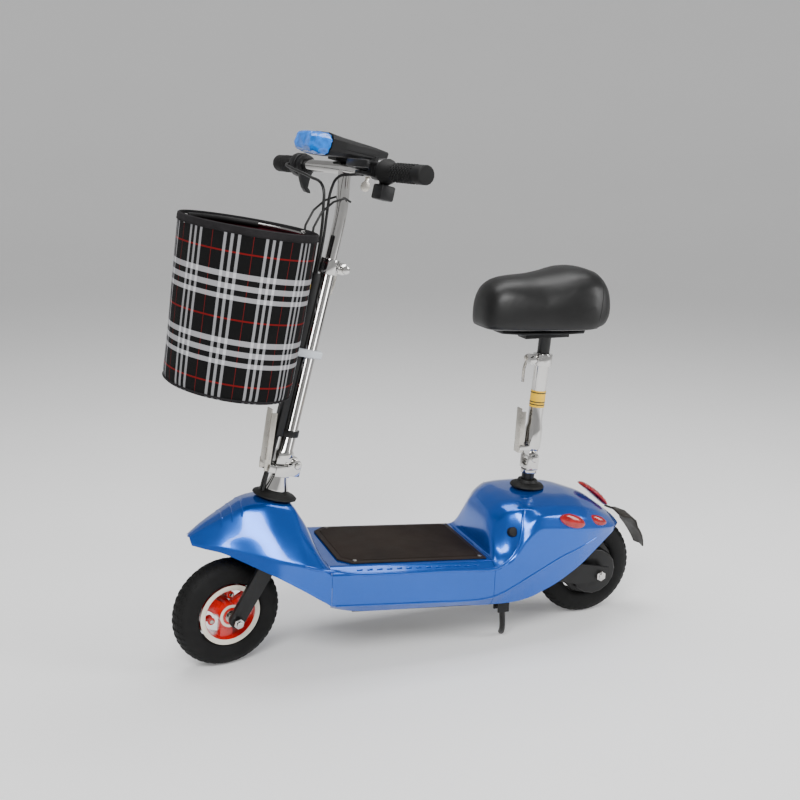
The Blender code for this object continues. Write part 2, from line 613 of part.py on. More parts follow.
def make_stem_fittings():
    clamp = turned("stem_clamp", [(STEM_RADIUS + GAP, 0.408), (0.0178, 0.408), (0.0178, 0.434),
                                  (RISER_RADIUS + 0.0006, 0.434),
                                  (RISER_RADIUS + 0.0006, STEM_TOP + GAP),
                                  (STEM_RADIUS + GAP, STEM_TOP + GAP)],
                   CHROME, steer)
    ears = [block(f"clamp_ear_{side}", (0.014, 0.0040, 0.020), CHROME, steer, (-0.0225, side * 0.0045, 0.421))
            for side in (1, -1)]
    bolt = rod("clamp_bolt", 0.0028, 0.036, CHROME, steer, (-0.0235, 0.0040, 0.421), along_y())
    nut = rod("clamp_nut", 0.0075, 0.0060, CHROME, steer, (-0.0235, 0.0190, 0.421), along_y(), 6)
    combine(clamp, ears + [bolt, nut])
    lever = wire("stem_clamp_lever", [(-0.0235, -0.0190, 0.421), (-0.0290, -0.0200, 0.400),
                                      (-0.0270, -0.0210, 0.372)],
                 0.0030, STEEL, steer, 1, smooth=3)
    combine(lever, [rod("clamp_cam", 0.0075, 0.0075, STEEL, steer, (-0.0235, -0.0186, 0.421), along_y(),
                        ROUND)])
    sleeve = block("cable_sleeve", (0.0150, 0.0200, 0.2920), BLACK_PLASTIC, steer, (0.0222, 0, 0.2590),
                   round_by=0.003)
    ring = turned("sleeve_ring", [(STEM_RADIUS + GAP, 0.116), (0.0175, 0.116), (0.0175, 0.127),
                                  (STEM_RADIUS + GAP, 0.127)],
                  BLACK_PLASTIC, steer)
    combine(sleeve, [ring])
    combine(sleeve, [block("sleeve_bore", (0.0095, 0.0150, 0.40), BLACK_PLASTIC, steer, (0.0225, 0, 0.2590)),
                     rod("tube_clearance", STEM_RADIUS + GAP, 0.40, BLACK_PLASTIC, steer, (0, 0, 0.2590),
                         steps=ROUND)],
            "DIFFERENCE")


def make_riser():
    """The height-adjustable upper tube with its gooseneck, welded to the bar."""
    neck = [(0, 0, 0.270), (0, 0, 0.490), (0.0008, 0, 0.510), (0.0032, 0, 0.532), (0.0070, 0, 0.553),
            (0.0104, 0, 0.572), (BAR_X, 0, BAR_Z)]
    made = wire("handlebar", neck, RISER_RADIUS, CHROME, steer, 3)
    bar = rod("bar", RISER_RADIUS, 2 * BAR_HALF - 0.004, CHROME, steer, (BAR_X, 0, BAR_Z), tilted(), ROUND)
    combine(made, [bar])


def tilted():
    return Matrix.Rotation(BAR_TILT, 4, "X") @ along_y()


def bar_at(y):
    """The place on the bar's axis at one distance from its middle."""
    return (BAR_X, y * math.cos(BAR_TILT), BAR_Z + y * math.sin(BAR_TILT))


def make_grips():
    for label, side in (("left", 1), ("right", -1)):
        inner = 0.1330 if side > 0 else 0.1735
        bore = RISER_RADIUS + GAP
        profile = [(bore, inner), (0.0205, inner), (0.0210, inner + 0.004), (0.0150, inner + 0.016),
                   (0.0145, inner + 0.030), (0.0145, 0.226), (GRIP_RADIUS, 0.232), (GRIP_RADIUS, 0.248),
                   (0.0135, 0.2500), (0, 0.2500), (0, 0.2480), (bore, 0.2480)]
        if side < 0:
            profile = [(bore, inner), (0.0150, inner)] + profile[4:]
        turned(f"grip_{label}", profile, RUBBER, bar, steps=ROUND,
               turn=Matrix.Rotation(-side * math.pi / 2, 4, "X"))


def make_brake():
    """The brake lever's clamp and lever on the rider's left."""
    clamp = turned("brake_bracket", [(RISER_RADIUS + GAP, 0.103), (0.0150, 0.103), (0.0150, 0.127),
                                     (RISER_RADIUS + GAP, 0.127)],
                   BLACK_PLASTIC, bar, steps=ROUND, turn=Matrix.Rotation(-math.pi / 2, 4, "X"))
    body = block("brake_body", (0.026, 0.020, 0.0050), BLACK_PLASTIC, bar, (0.0240, 0.1090, 0.0095))
    foot = block("brake_body_low", (0.026, 0.020, 0.0050), BLACK_PLASTIC, bar, (0.0240, 0.1090, -0.0095))
    web = block("brake_web", (0.005, 0.020, 0.020), BLACK_PLASTIC, bar, (0.0160, 0.1090, 0))
    barrel = rod("brake_barrel", 0.0045, 0.020, BLACK_PLASTIC, bar, (0.0230, 0.0920, -0.0095), along_y())
    combine(clamp, [body, foot, web, barrel])
    outline = [(0.022, 0.104), (0.036, 0.098), (0.052, 0.100), (0.063, 0.112), (0.066, 0.140), (0.064, 0.172),
               (0.060, 0.178), (0.056, 0.172), (0.056, 0.140), (0.052, 0.120), (0.042, 0.114), (0.030, 0.116),
               (0.022, 0.114)]
    plate("brake_lever", outline, 0.0120, BLACK_PLASTIC, bar)


def make_throttle():
    """The thumb throttle's ring and paddle on the rider's right."""
    turned("throttle_housing", [(RISER_RADIUS + GAP, 0.1520), (0.0205, 0.1520), (0.0215, 0.1550),
                                (0.0215, 0.1700),
                                (0.0205, 0.1730), (RISER_RADIUS + GAP, 0.1730)],
           BLACK_PLASTIC, bar, steps=ROUND, turn=Matrix.Rotation(math.pi / 2, 4, "X"))
    paddle = turned("throttle_lever", [(RISER_RADIUS + GAP, 0.1400), (0.0185, 0.1400), (0.0185, 0.1515),
                                       (RISER_RADIUS + GAP, 0.1515)], BLACK_PLASTIC, bar, steps=ROUND,
                    turn=Matrix.Rotation(math.pi / 2, 4, "X"))
    outline = [(-0.014, -0.010), (0.012, -0.012), (0.004, -0.028), (-0.003, -0.040), (-0.010, -0.046),
               (-0.019, -0.047),
               (-0.017, -0.042), (-0.012, -0.038), (-0.012, -0.026)]
    combine(paddle, [plate("thumb", outline, 0.0110, BLACK_PLASTIC, bar, (0, -0.1458, 0), along_y())])


def make_console():
    """The head lamp housing over the bar, its lens, lock and key."""
    tilt = pitch(-0.062)
    rings = [oval_ring(x, w, low, high, 12, 4.0) for x, w, low, high in
             ((-0.041, 0.034, 0.0330, 0.0475), (-0.016, 0.042, 0.0220, 0.0475),
              (0.046, 0.046, 0.0100, 0.0440),
              (0.073, 0.046, 0.0030, 0.0440))]
    made = loft("console", rings, BLACK_PLASTIC, steer, (0, 0, BAR_Z), tilt)
    lock = rod("ignition_barrel", 0.0085, 0.034, BLACK_PLASTIC, steer, (-0.0160, 0.030, BAR_Z + 0.0140),
               tip=0.0125)
    saddle = block("console_foot", (0.024, 0.030, 0.016), BLACK_PLASTIC, steer,
                   (0.0160, -0.026, BAR_Z + 0.0180))
    combine(made, [lock, saddle])
    groove = rod("bar_groove", RISER_RADIUS + GAP, 0.5, BLACK_PLASTIC, steer, (BAR_X, 0, BAR_Z), tilted(),
                 ROUND)
    combine(made, [groove], "DIFFERENCE")
    lens = [oval_ring(x, w, low, high, 12, 3.6) for x, w, low, high in
            ((0.0735, 0.0455, 0.0020, 0.0430), (0.088, 0.0430, 0.0015, 0.0410),
             (0.100, 0.0370, 0.0035, 0.0380), (0.106, 0.0280, 0.0090, 0.0330))]
    loft("headlight_lens", lens, BLUE_LENS, steer, (0, 0, BAR_Z), tilt)
    key = rod("ignition_key", 0.0090, 0.0018, STEEL, steer, (-0.0160, 0.030, BAR_Z - 0.0215), along_y(),
              ROUND)
    combine(key, [block("key_blade", (0.0070, 0.0018, 0.0180), STEEL, steer,
                        (-0.0160, 0.030, BAR_Z - 0.0125))])


def make_switches():
    box = turned("switch_box", [(RISER_RADIUS + GAP, 0.1280), (0.0155, 0.1280), (0.0155, 0.1325),
                                (RISER_RADIUS + GAP, 0.1325)],
                 BLACK_PLASTIC, bar, steps=ROUND, turn=Matrix.Rotation(-math.pi / 2, 4, "X"))
    body = block("switch_body", (0.026, 0.030, 0.024), BLACK_PLASTIC, bar, (-0.004, 0.1310, -0.0330),
                 round_by=0.003)
    combine(box, [body, block("switch_neck", (0.016, 0.0045, 0.014), BLACK_PLASTIC, bar,
                              (-0.002, 0.13025, -0.0190))])
    combine(box, [rod("horn_recess", 0.0068, 0.0060, BLACK_PLASTIC, bar, (-0.0174, 0.1310, -0.0340),
                      along_x())],
            "DIFFERENCE")
    turned("horn_button", [(0, 0.0040), (0.0050, 0.0040), (0.0062, 0.0028), (0.0062, 0.0), (0, 0.0)],
           RED_PAINT, bar, (-0.0170, 0.1310, -0.0340), Matrix.Rotation(-math.pi / 2, 4, "Y"), COARSE)


def make_cables():
    brake = [(0.0230, 0.0800, BAR_Z - 0.0060), (0.0330, 0.0620, BAR_Z - 0.0100),
             (0.0410, 0.0350, BAR_Z - 0.0180),
             (0.0380, 0.0150, BAR_Z - 0.0400), (0.0310, 0.0065, 0.510), (0.0255, 0.0045, 0.470),
             (0.0232, 0.0042, 0.430),
             (0.0225, 0.0040, 0.400), (0.0225, 0.0040, 0.250), (0.0225, 0.0040, 0.120),
             (0.0240, 0.0042, 0.085),
             (0.0250, 0.0044, 0.050), (0.0262, 0.0048, 0.030), (0.0270, 0.0050, 0.0120)]
    wire("brake_cable", brake, 0.0024, BLACK_PLASTIC, steer, 2, smooth=2)
    loom = [(0.0378, -0.1620, BAR_Z - 0.0110), (0.0480, -0.1500, BAR_Z - 0.0140),
            (0.0520, -0.1150, BAR_Z - 0.0190),
            (0.0450, -0.0550, BAR_Z - 0.0270), (0.0390, -0.0150, BAR_Z - 0.0380), (0.0330, -0.0065, 0.515),
            (0.0265, -0.0045, 0.470), (0.0232, -0.0042, 0.430), (0.0225, -0.0040, 0.400),
            (0.0225, -0.0040, 0.250),
            (0.0225, -0.0040, 0.120), (0.0240, -0.0042, 0.085), (0.0250, -0.0044, 0.050),
            (0.0262, -0.0048, 0.030),
            (0.0270, -0.0050, 0.0120)]
    wire("wiring_cable", loom, 0.0026, BLACK_PLASTIC, steer, 2, smooth=2)


# ---------------------------------------------------------------- basket


def make_basket():
    half, low, high, wall = BASKET_HALF_LENGTH, -BASKET_HEIGHT / 2, BASKET_HEIGHT / 2, 0.003
    foot = half * BASKET_TAPER
    stretch = Matrix.Diagonal((1, BASKET_HALF_WIDTH / BASKET_HALF_LENGTH, 1, 1))
    turned("basket", [(0, low + wall), (foot - wall, low + wall), (half - wall, high), (half, high),
                      (foot, low), (0, low)],
           TARTAN, basket, turn=stretch, steps=FINE)
    back = []
    for z in (0.1450, 0.02, -0.0575):
        radius = foot + (half - foot) * (z - low) / BASKET_HEIGHT
        back.append((-radius - 0.0026, z))
    hooks = [(-0.1760, 0.0150, 0.1950), (-0.1640, 0.0150, 0.2000), (-0.1430, 0.0150, 0.1910),
             (-0.1240, 0.0150, 0.1720)]
    route = hooks + [(x, 0.0150, z) for x, z in back]
    route += [(x, -y, z) for x, y, z in reversed(route)]
    wire("basket_hanger", route, 0.0020, BLACK_PAINT, basket, 1)
    bail = []
    for step in range(13):
        angle = math.pi * (1 + step / 12)
        bail.append(((half - 0.0080) * math.cos(angle), (BASKET_HALF_WIDTH - 0.0100) * math.sin(angle),
                     high - 0.008))
    wire("basket_handle", bail, 0.0030, STEEL, basket, 1)


def make_basket_clip():
    made = block("basket_clip", (0.0545, 0.0400, 0.0140), WHITE, steer, (0.0085, 0, 0.2670), round_by=0.003)
    combine(made, [rod("clip_bore", STEM_RADIUS + GAP, 0.04, WHITE, steer, (0, 0, 0.2670), steps=ROUND),
                   block("clip_slot", (0.0305, 0.0210, 0.04), WHITE, steer, (0.0153, 0, 0.2670))],
                   "DIFFERENCE")


# ---------------------------------------------------------------- seat


def make_seat_post():
    turned("seat_boot", [(0.0130, 0.0240), (0.0330, 0.0240), (0.0335, 0.0265), (0.0300, 0.0305),
                         (0.0200, 0.0335),
                         (0.0185, 0.0390), (0.0130, 0.0390)], RUBBER, seat, steps=ROUND)
    post = rod("seat_lower_post", 0.0124, 0.165, BLACK_PAINT, seat, (0, 0, -0.0165), steps=ROUND)
    lugs = []
    for side in (1, -1):
        lugs.append(block(f"seat_lug_{side}", (0.022, 0.0050, 0.024), BLACK_PAINT, seat,
                          (0.0010, side * 0.0145, 0.0720)))
        lugs.append(rod(f"seat_lug_round_{side}", 0.0110, 0.0050, BLACK_PAINT, seat,
                        (0, side * 0.0145, SEAT_FOLD_Z), along_y()))
        lugs.append(rod(f"seat_nut_{side}", 0.0070, 0.0050, BLACK_PAINT, seat,
                        (0, side * 0.0190, SEAT_FOLD_Z), along_y(), 6))
    lugs.append(block("seat_lug_base", (0.022, 0.034, 0.006), BLACK_PAINT, seat, (0.0010, 0, 0.0635)))
    lugs.append(rod("seat_pin", 0.0040, 0.034, BLACK_PAINT, seat, (0, 0, SEAT_FOLD_Z), along_y()))
    combine(post, lugs)


def make_seat_tube():
    made = turned("seat_tube", [(SEAT_TUBE_RADIUS, 0.285), (SEAT_TUBE_RADIUS, 0.150), (0.0165, 0.140),
                                (0.0170, 0.106),
                                (0.0150, 0.0975), (0, 0.0975), (0, 0.1080),
                                (SEAT_POST_RADIUS + 0.0004, 0.1080),
                                (SEAT_POST_RADIUS + 0.0004, 0.285)], CHROME, seat)
    knuckle = rod("seat_knuckle", 0.0095, 0.0225, CHROME, seat, (0, 0, SEAT_FOLD_Z), along_y())
    neck = block("seat_neck", (0.0180, 0.0225, 0.0130), CHROME, seat, (0, 0, 0.0930))
    clamp = turned("seat_collar", [(0.0138, 0.262), (0.0185, 0.262), (0.0185, 0.284), (0.0138, 0.284)],
                   CHROME, seat)
    ear = block("seat_ear", (0.0110, 0.0160, 0.0180), CHROME, seat, (0.0235, 0, 0.273))
    nut = rod("seat_clamp_nut", 0.0070, 0.0060, CHROME, seat, (0.0245, 0.0105, 0.273), along_y(), 6)
    ears = [block(f"latch_ear_{side}", (0.0220, 0.0020, 0.0090), CHROME, seat,
                  (0.0200, side * 0.0114, 0.1025))
            for side in (1, -1)]
    combine(made, [knuckle, neck, clamp, ear, nut] + ears)
    combine(made, [rod("seat_pin_clearance", 0.0045, 0.030, CHROME, seat, (0, 0, SEAT_FOLD_Z), along_y())],
            "DIFFERENCE")
    lever = wire("seat_clamp_lever", [(0.0245, -0.0130, 0.273), (0.0290, -0.0145, 0.252),
                                      (0.0275, -0.0160, 0.226)],
                 0.0030, STEEL, seat, 1, smooth=3)
    combine(lever, [rod("seat_cam", 0.0070, 0.0070, STEEL, seat, (0.0245, -0.0119, 0.273), along_y(), ROUND)])
    plate_tilt = pitch(0.04)
    latch = block("seat_fold_lever", (0.0022, 0.0180, 0.086), STEEL, seat, (0.0332, 0, 0.1355), plate_tilt)
    edges = [block(f"latch_side_{side}", (0.0100, 0.0020, 0.080), STEEL, seat,
                   (0.0286, side * 0.0090, 0.1330), plate_tilt)
             for side in (1, -1)]
    combine(latch, edges)


def make_saddle():
    post = rod("seat_post", SEAT_POST_RADIUS, 0.186, BLACK_PAINT, seat, (0, 0, 0.2310), steps=ROUND)
    combine(post, [block("saddle_bracket", (0.090, 0.034, 0.008), BLACK_PAINT, seat, (0.004, 0, 0.3205),
                         pitch(0.0873))])
    rings = [oval_ring(x, w, low, high, 12, 3.2) for x, w, low, high in
             ((0.046, 0.044, 0.577, 0.5855), (0.056, 0.058, 0.576, 0.5855), (0.090, 0.060, 0.576, 0.5855),
              (0.170, 0.044, 0.576, 0.5855), (0.206, 0.026, 0.578, 0.5855))]
    loft("saddle_pan", rings, BLACK_PLASTIC, root)
    cushion = [saddle_ring(*section) for section in
               ((0.003, 0.048, 0.624, 0.650), (0.008, 0.070, 0.609, 0.673), (0.024, 0.088, 0.594, 0.692),
                (0.052, 0.097, 0.586, 0.700), (0.082, 0.096, 0.586, 0.6975), (0.114, 0.090, 0.586, 0.6880),
                (0.147, 0.081, 0.586, 0.6825), (0.181, 0.073, 0.586, 0.6835), (0.211, 0.063, 0.586, 0.6805),
                (0.231, 0.053, 0.586, 0.669), (0.243, 0.038, 0.587, 0.650), (0.247, 0.025, 0.588, 0.632))]
    loft("saddle", cushion, VINYL, root)


def saddle_ring(x, half_width, low, high):
    """A cross-section with a domed top, full sides and a firm lower edge."""
    half = [(0.50, 0.0), (0.955, 0.015), (1.0, 0.14), (0.985, 0.42), (0.90, 0.72), (0.68, 0.91),
            (0.36, 0.985)]
    right = [(share_y, share_z) for share_y, share_z in half]
    left = [(-share_y, share_z) for share_y, share_z in reversed(half)]
    return [(x, half_width * y, low + (high - low) * z) for y, z in right + [(0.0, 1.0)] + left]


# ---------------------------------------------------------------- joints


def hang(name, base, location, turn, pieces, rides=None):
    """Gives moving pieces a parent empty whose Z is their joint's axis, measured in the base frame."""
    axis = frame(name, base, location, turn)
    bpy.context.view_layer.update()
    placed = axis.matrix_world.copy()
    if rides:
        axis.parent = rides
        axis.matrix_local = rides.matrix_world.inverted() @ placed
    for piece in pieces:
        made = bpy.data.objects[piece]
        where = made.matrix_world.copy()
        made.parent = axis
        made.matrix_local = placed.inverted() @ where
    bpy.context.view_layer.update()
    return axis


def make_joints():
    across = along_y()
    stem = hang("stem_fold_axis", steer, (FOLD_X, 0, FOLD_Z), across,
                ["stem_tube", "stem_clamp", "cable_sleeve", "basket", "basket_hanger", "basket_clip",
                 "brake_cable",
                 "wiring_cable"])
    riser = hang("stem_height_axis", steer, (0, 0, STEM_TOP), Matrix(),
                 ["handlebar", "console", "headlight_lens",
                 "grip_left", "grip_right", "brake_bracket", "throttle_housing", "switch_box"], stem)
    hang("throttle_axis", bar, (0, -0.1458, 0), across, ["throttle_lever"], riser)
    hang("brake_axis", bar, BRAKE_PIVOT, Matrix(), ["brake_lever"], riser)
    hang("horn_axis", bar, (-0.0170, 0.1310, -0.0340), pitch(-math.pi / 2), ["horn_button"], riser)
    hang("key_axis", steer, (-0.0160, 0.030, BAR_Z), Matrix(), ["ignition_key"], riser)
    hang("stem_clamp_axis", steer, (-0.0235, -0.0186, 0.421), across, ["stem_clamp_lever"], stem)
    hang("basket_handle_axis", basket, (0, 0, BASKET_HEIGHT / 2 - 0.008), along_x(), ["basket_handle"], stem)
    hang("stem_latch_axis", steer, STEM_LATCH, across, ["stem_fold_lever"], steer)
    fold = hang("seat_fold_axis", seat, (0, 0, SEAT_FOLD_Z), across, ["seat_tube"])
    hang("seat_height_axis", seat, (0, 0, 0.285), Matrix(), ["seat_post", "saddle_pan", "saddle"], fold)
    hang("seat_clamp_axis", seat, (0.0245, -0.0119, 0.273), across, ["seat_clamp_lever"], fold)
    hang("seat_latch_axis", seat, SEAT_LATCH, across, ["seat_fold_lever"], fold)
    hang("kickstand_axis", root, KICKSTAND_PIVOT, across, ["kickstand"])


clear_scene()
parts = make_collection("seated_scooter", False)
helpers = make_collection("seated_scooter_helpers", True)
root = frame("rear_axle_line", None, (REAR_AXLE_X, 0, 0))
steer_turn = pitch(-RAKE) @ Matrix.Rotation(STEER_TURN, 4, "Z")
steer = frame("steering_axis", root, (STEER_X, 0, STEER_Z), steer_turn)
bar = frame("bar_axis", steer, (BAR_X, 0, BAR_Z), Matrix.Rotation(BAR_TILT, 4, "X"))
seat = frame("seat_post_axis", root, (SEAT_X, 0, SEAT_Z), pitch(-SEAT_LEAN))
front_hub = frame("front_hub", steer, (FORK_OFFSET, 0, FORK_DROP), along_y())
rear_hub = frame("rear_hub", root, (0, 0, WHEEL_RADIUS), Matrix.Rotation(-math.pi / 2, 4, "X"))
basket = frame("basket_centre", steer, (BASKET_X, 0, BASKET_Z), pitch(BASKET_TILT))

make_frame()
make_front_cover()
make_deck_shell()
make_rear_cover()
make_inside()
make_mat()
make_lights()
make_rear_fender()
make_kickstand()
make_charge_cap()
make_front_wheel()
make_rear_wheel()
make_drive()
make_fork()
make_stem_base()
make_stem_tube()
make_stem_fittings()
make_riser()
make_grips()
make_brake()
make_throttle()
make_console()
make_switches()
make_cables()
make_basket()
make_basket_clip()
make_seat_post()
make_seat_tube()
make_saddle()
make_joints()
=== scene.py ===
# %% [markdown]
# # A folding seated electric scooter
# The jointed solids are loaded first as a fixed frame. Every visible piece is then either a
# solid that keeps its shape and gets a real finish, or a finer piece that stands for it and
# moves with the same body.

# %% Load the frame
import json
import math

import bpy
from mathutils import Matrix, Vector
from mathutils.bvhtree import BVHTree


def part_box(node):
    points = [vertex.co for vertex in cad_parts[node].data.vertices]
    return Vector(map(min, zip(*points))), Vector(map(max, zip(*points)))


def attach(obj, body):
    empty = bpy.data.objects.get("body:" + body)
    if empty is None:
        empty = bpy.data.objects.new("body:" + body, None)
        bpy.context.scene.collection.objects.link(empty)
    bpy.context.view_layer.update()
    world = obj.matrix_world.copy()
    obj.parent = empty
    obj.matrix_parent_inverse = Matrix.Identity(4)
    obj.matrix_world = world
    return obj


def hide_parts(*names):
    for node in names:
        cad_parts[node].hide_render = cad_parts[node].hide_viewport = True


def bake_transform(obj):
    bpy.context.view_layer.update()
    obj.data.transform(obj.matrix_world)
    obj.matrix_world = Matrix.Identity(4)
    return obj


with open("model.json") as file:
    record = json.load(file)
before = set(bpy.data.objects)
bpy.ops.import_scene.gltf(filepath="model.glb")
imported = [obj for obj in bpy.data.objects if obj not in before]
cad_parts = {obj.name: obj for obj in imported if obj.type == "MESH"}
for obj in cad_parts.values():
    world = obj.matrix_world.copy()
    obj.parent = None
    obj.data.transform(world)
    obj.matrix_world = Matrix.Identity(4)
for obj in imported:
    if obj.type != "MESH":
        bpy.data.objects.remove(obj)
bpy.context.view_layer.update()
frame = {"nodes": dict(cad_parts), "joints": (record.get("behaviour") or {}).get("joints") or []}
nodes = frame["nodes"]
joint = {j["name"]: j for j in frame["joints"]}

# %% [markdown]
# A scooter is built along a few axes: the raked steering axis, the handlebar, the leaning
# seat post, the basket and the two wheels. Reading them from the joints keeps each new piece
# exactly where the solids are.

# %% Working axes
def shift(x, y, z):
    return Matrix.Translation((x, y, z))


def spun(angle, axis):
    return Matrix.Rotation(angle, 4, axis)


def axes_of(origin, left, up):
    ahead = left.cross(up).normalized()
    left = up.cross(ahead).normalized()
    made = Matrix((ahead, left, up)).transposed().to_4x4()
    made.translation = origin
    return made


UP = Vector((0, 0, 1))
LEFT = Vector((0, 1, 0))
steer_up = Vector(joint["steering"]["axis"])
steer_left = Vector(joint["front_wheel_spin"]["axis"])
steer = axes_of(Vector(joint["steering"]["pos_m"]), steer_left, steer_up)
bar_left = -Vector(joint["throttle_push"]["axis"])
bar = axes_of(Vector(joint["throttle_push"]["pos_m"]), bar_left, Vector(joint["brake_squeeze"]["axis"]))
basket_ahead = -Vector(joint["basket_bail"]["axis"])
basket = axes_of(Vector(joint["basket_bail"]["pos_m"]), steer_left, basket_ahead.cross(steer_left))
basket = basket @ shift(0, 0, -0.1305)
post_up = Vector(joint["seat_height"]["axis"])
seat = axes_of(Vector(joint["seat_fold"]["pos_m"]), LEFT, post_up) @ shift(0, 0, -0.083)
front_hub = axes_of(Vector(joint["front_wheel_spin"]["pos_m"]), -UP, steer_left)
rear_hub = axes_of(Vector(joint["rear_wheel_spin"]["pos_m"]), -UP, LEFT)
chassis = shift(joint["rear_wheel_spin"]["pos_m"][0], 0, 0)
BAR_HEIGHT = (steer.inverted() @ bar.translation).z
print("steering axis at", [round(v, 3) for v in steer.translation])

# %% [markdown]
# The camera stands to the left and in front of the scooter, a little above the saddle,
# and looks down at it with a medium lens. Its place, lens, yaw, pitch and roll were worked out
# by a fit to one view, and are kept here as plain numbers.

# %% Camera
def look_matrix(place, yaw, pitch, roll):
    ahead = Vector((-math.sin(yaw) * math.cos(pitch), -math.cos(yaw) * math.cos(pitch), -math.sin(pitch)))
    right = ahead.cross(UP).normalized()
    top = right.cross(ahead)
    turned_right = right * math.cos(roll) + top * math.sin(roll)
    turned_top = top * math.cos(roll) - right * math.sin(roll)
    made = Matrix((turned_right, turned_top, -ahead)).transposed().to_4x4()
    made.translation = place
    return made


lens = bpy.data.cameras.new("studio_camera")
lens.sensor_width = 36.0
lens.lens = 49.66
lens.clip_end = 30.0
camera = bpy.data.objects.new("studio_camera", lens)
bpy.context.scene.collection.objects.link(camera)
camera.matrix_world = look_matrix(Vector((0.72796, 1.82946, 0.92537)), 0.35371, 0.23317, 0.01571)
bpy.context.scene.camera = camera
print("camera at", [round(v, 2) for v in camera.matrix_world.translation])

# %% [markdown]
# Gloss paint and chrome only look right with something bright to reflect. Three wide, soft
# lights and a pale room give long clean highlights and a gentle shadow under the wheels.

# %% Lights and room
def soft_light(name, place, aim, size, power):
    data = bpy.data.lights.new(name, "AREA")
    data.shape = "RECTANGLE"
    data.size, data.size_y = size
    data.energy = power
    made = bpy.data.objects.new(name, data)
    bpy.context.scene.collection.objects.link(made)
    made.matrix_world = (Vector(aim) - Vector(place)).to_track_quat("-Z", "Y").to_matrix().to_4x4()
    made.matrix_world.translation = Vector(place)


soft_light("key_light", (1.3, 2.2, 2.4), (0, 0, 0.3), (1.6, 1.0), 88)
soft_light("side_light", (-2.2, 1.4, 1.5), (0, 0, 0.35), (0.9, 1.6), 40)
soft_light("top_light", (0.0, -0.4, 2.8), (0, 0, 0.2), (2.4, 1.4), 60)
room = bpy.data.worlds.new("pale_room")
room.use_nodes = True
sky = room.node_tree.nodes["Background"]
sky.inputs["Color"].default_value = (1.0, 1.0, 1.0, 1.0)
sky.inputs["Strength"].default_value = 0.30
bpy.context.scene.world = room
print("three lights and a pale room")

# %% [markdown]
# A few small helpers keep the modelling steps short. Each piece starts as a primitive, is
# shaped in edit mode, and is then given its place, finish, body and material slot.

# %% Modelling helpers
FACES_OUT = (bpy.ops.mesh.normals_make_consistent, {"inside": False})


def deselect():
    if bpy.context.mode != "OBJECT":
        bpy.ops.object.mode_set(mode="OBJECT")
    bpy.ops.object.select_all(action="DESELECT")


def only(piece):
    deselect()
    piece.select_set(True)
    bpy.context.view_layer.objects.active = piece


def named(name):
    piece = bpy.context.view_layer.objects.active
    piece.name = piece.data.name = name
    return piece


def edited(piece, *steps):
    """Runs edit-mode operators, each with its settings, on the whole of one piece."""
    only(piece)
    bpy.ops.object.mode_set(mode="EDIT")
    for operator, settings in steps:
        bpy.ops.mesh.select_all(action="SELECT")
        operator(**settings)
    bpy.ops.object.mode_set(mode="OBJECT")
    return piece


def weld(piece, distance=0.00002):
    return edited(piece, (bpy.ops.mesh.remove_doubles, {"threshold": distance}), FACES_OUT)


# %% [markdown]
# Most pieces start as a cylinder along an axis or as a block. The place is applied at once,
# so that the mesh holds it and the object stays at the origin.

# %% Starting shapes
def cylinder(name, radius, height, at=(0, 0, 0), sides=32, axis="Z"):
    deselect()
    turn = {"Z": (0, 0, 0), "Y": (math.pi / 2, 0, 0), "X": (0, math.pi / 2, 0)}[axis]
    bpy.ops.mesh.primitive_cylinder_add(vertices=sides, radius=radius, depth=height, location=at,
                                        rotation=turn)
    piece = named(name)
    bpy.ops.object.transform_apply(location=True, rotation=True, scale=True)
    return piece


def block(name, size, at=(0, 0, 0), turn=(0, 0, 0)):
    deselect()
    bpy.ops.mesh.primitive_cube_add(size=1.0, location=at, rotation=turn)
    piece = named(name)
    piece.scale = size
    bpy.ops.object.transform_apply(location=True, rotation=True, scale=True)
    return piece


# %% [markdown]
# Round pieces are turned, as on a lathe. One point is extruded into a profile and the profile
# is spun about Z, then doubles are merged so that the shell closes.

# %% Turned pieces
def turned(name, profile, steps=48, close=False):
    """A profile of (radius, height) points drawn by extruding one point, then spun about Z."""
    deselect()
    bpy.ops.mesh.primitive_plane_add(size=0.01, location=(0, 0, 0))
    piece = named(name)
    bpy.ops.object.mode_set(mode="EDIT")
    bpy.ops.mesh.select_all(action="SELECT")
    bpy.ops.mesh.merge(type="CENTER")
    start = profile[0]
    bpy.ops.transform.translate(value=(start[0], 0, start[1]))
    for before, after in zip(profile, profile[1:] + (profile[:1] if close else [])):
        step = (after[0] - before[0], 0, after[1] - before[1])
        bpy.ops.mesh.extrude_region_move(TRANSFORM_OT_translate={"value": step})
    bpy.ops.mesh.select_all(action="SELECT")
    bpy.ops.mesh.spin(steps=steps, angle=2 * math.pi, center=(0, 0, 0), axis=(0, 0, 1))
    return weld(piece)


# %% [markdown]
# Cables and wires are curves with a round bevel. They are made into a mesh when the route is
# right, because a mesh can be blended across a joint.

# %% Tubes
def tube(name, points, radius, smooth=6, sides=10, closed=False):
    """A round cable or wire along a smooth route."""
    deselect()
    curve = bpy.data.curves.new(name, "CURVE")
    curve.dimensions = "3D"
    curve.bevel_depth = radius
    curve.bevel_resolution = max(1, sides // 4)
    curve.use_fill_caps = True
    curve.resolution_u = smooth
    spline = curve.splines.new("BEZIER")
    spline.bezier_points.add(len(points) - 1)
    for knot, point in zip(spline.bezier_points, points):
        knot.co = point
        knot.handle_left_type = knot.handle_right_type = "AUTO"
    spline.use_cyclic_u = closed
    piece = bpy.data.objects.new(name, curve)
    bpy.context.scene.collection.objects.link(piece)
    only(piece)
    bpy.ops.object.convert(target="MESH")
    return weld(named(name))


# %% [markdown]
# A modifier is added and applied in one step, so that no piece keeps a live one.

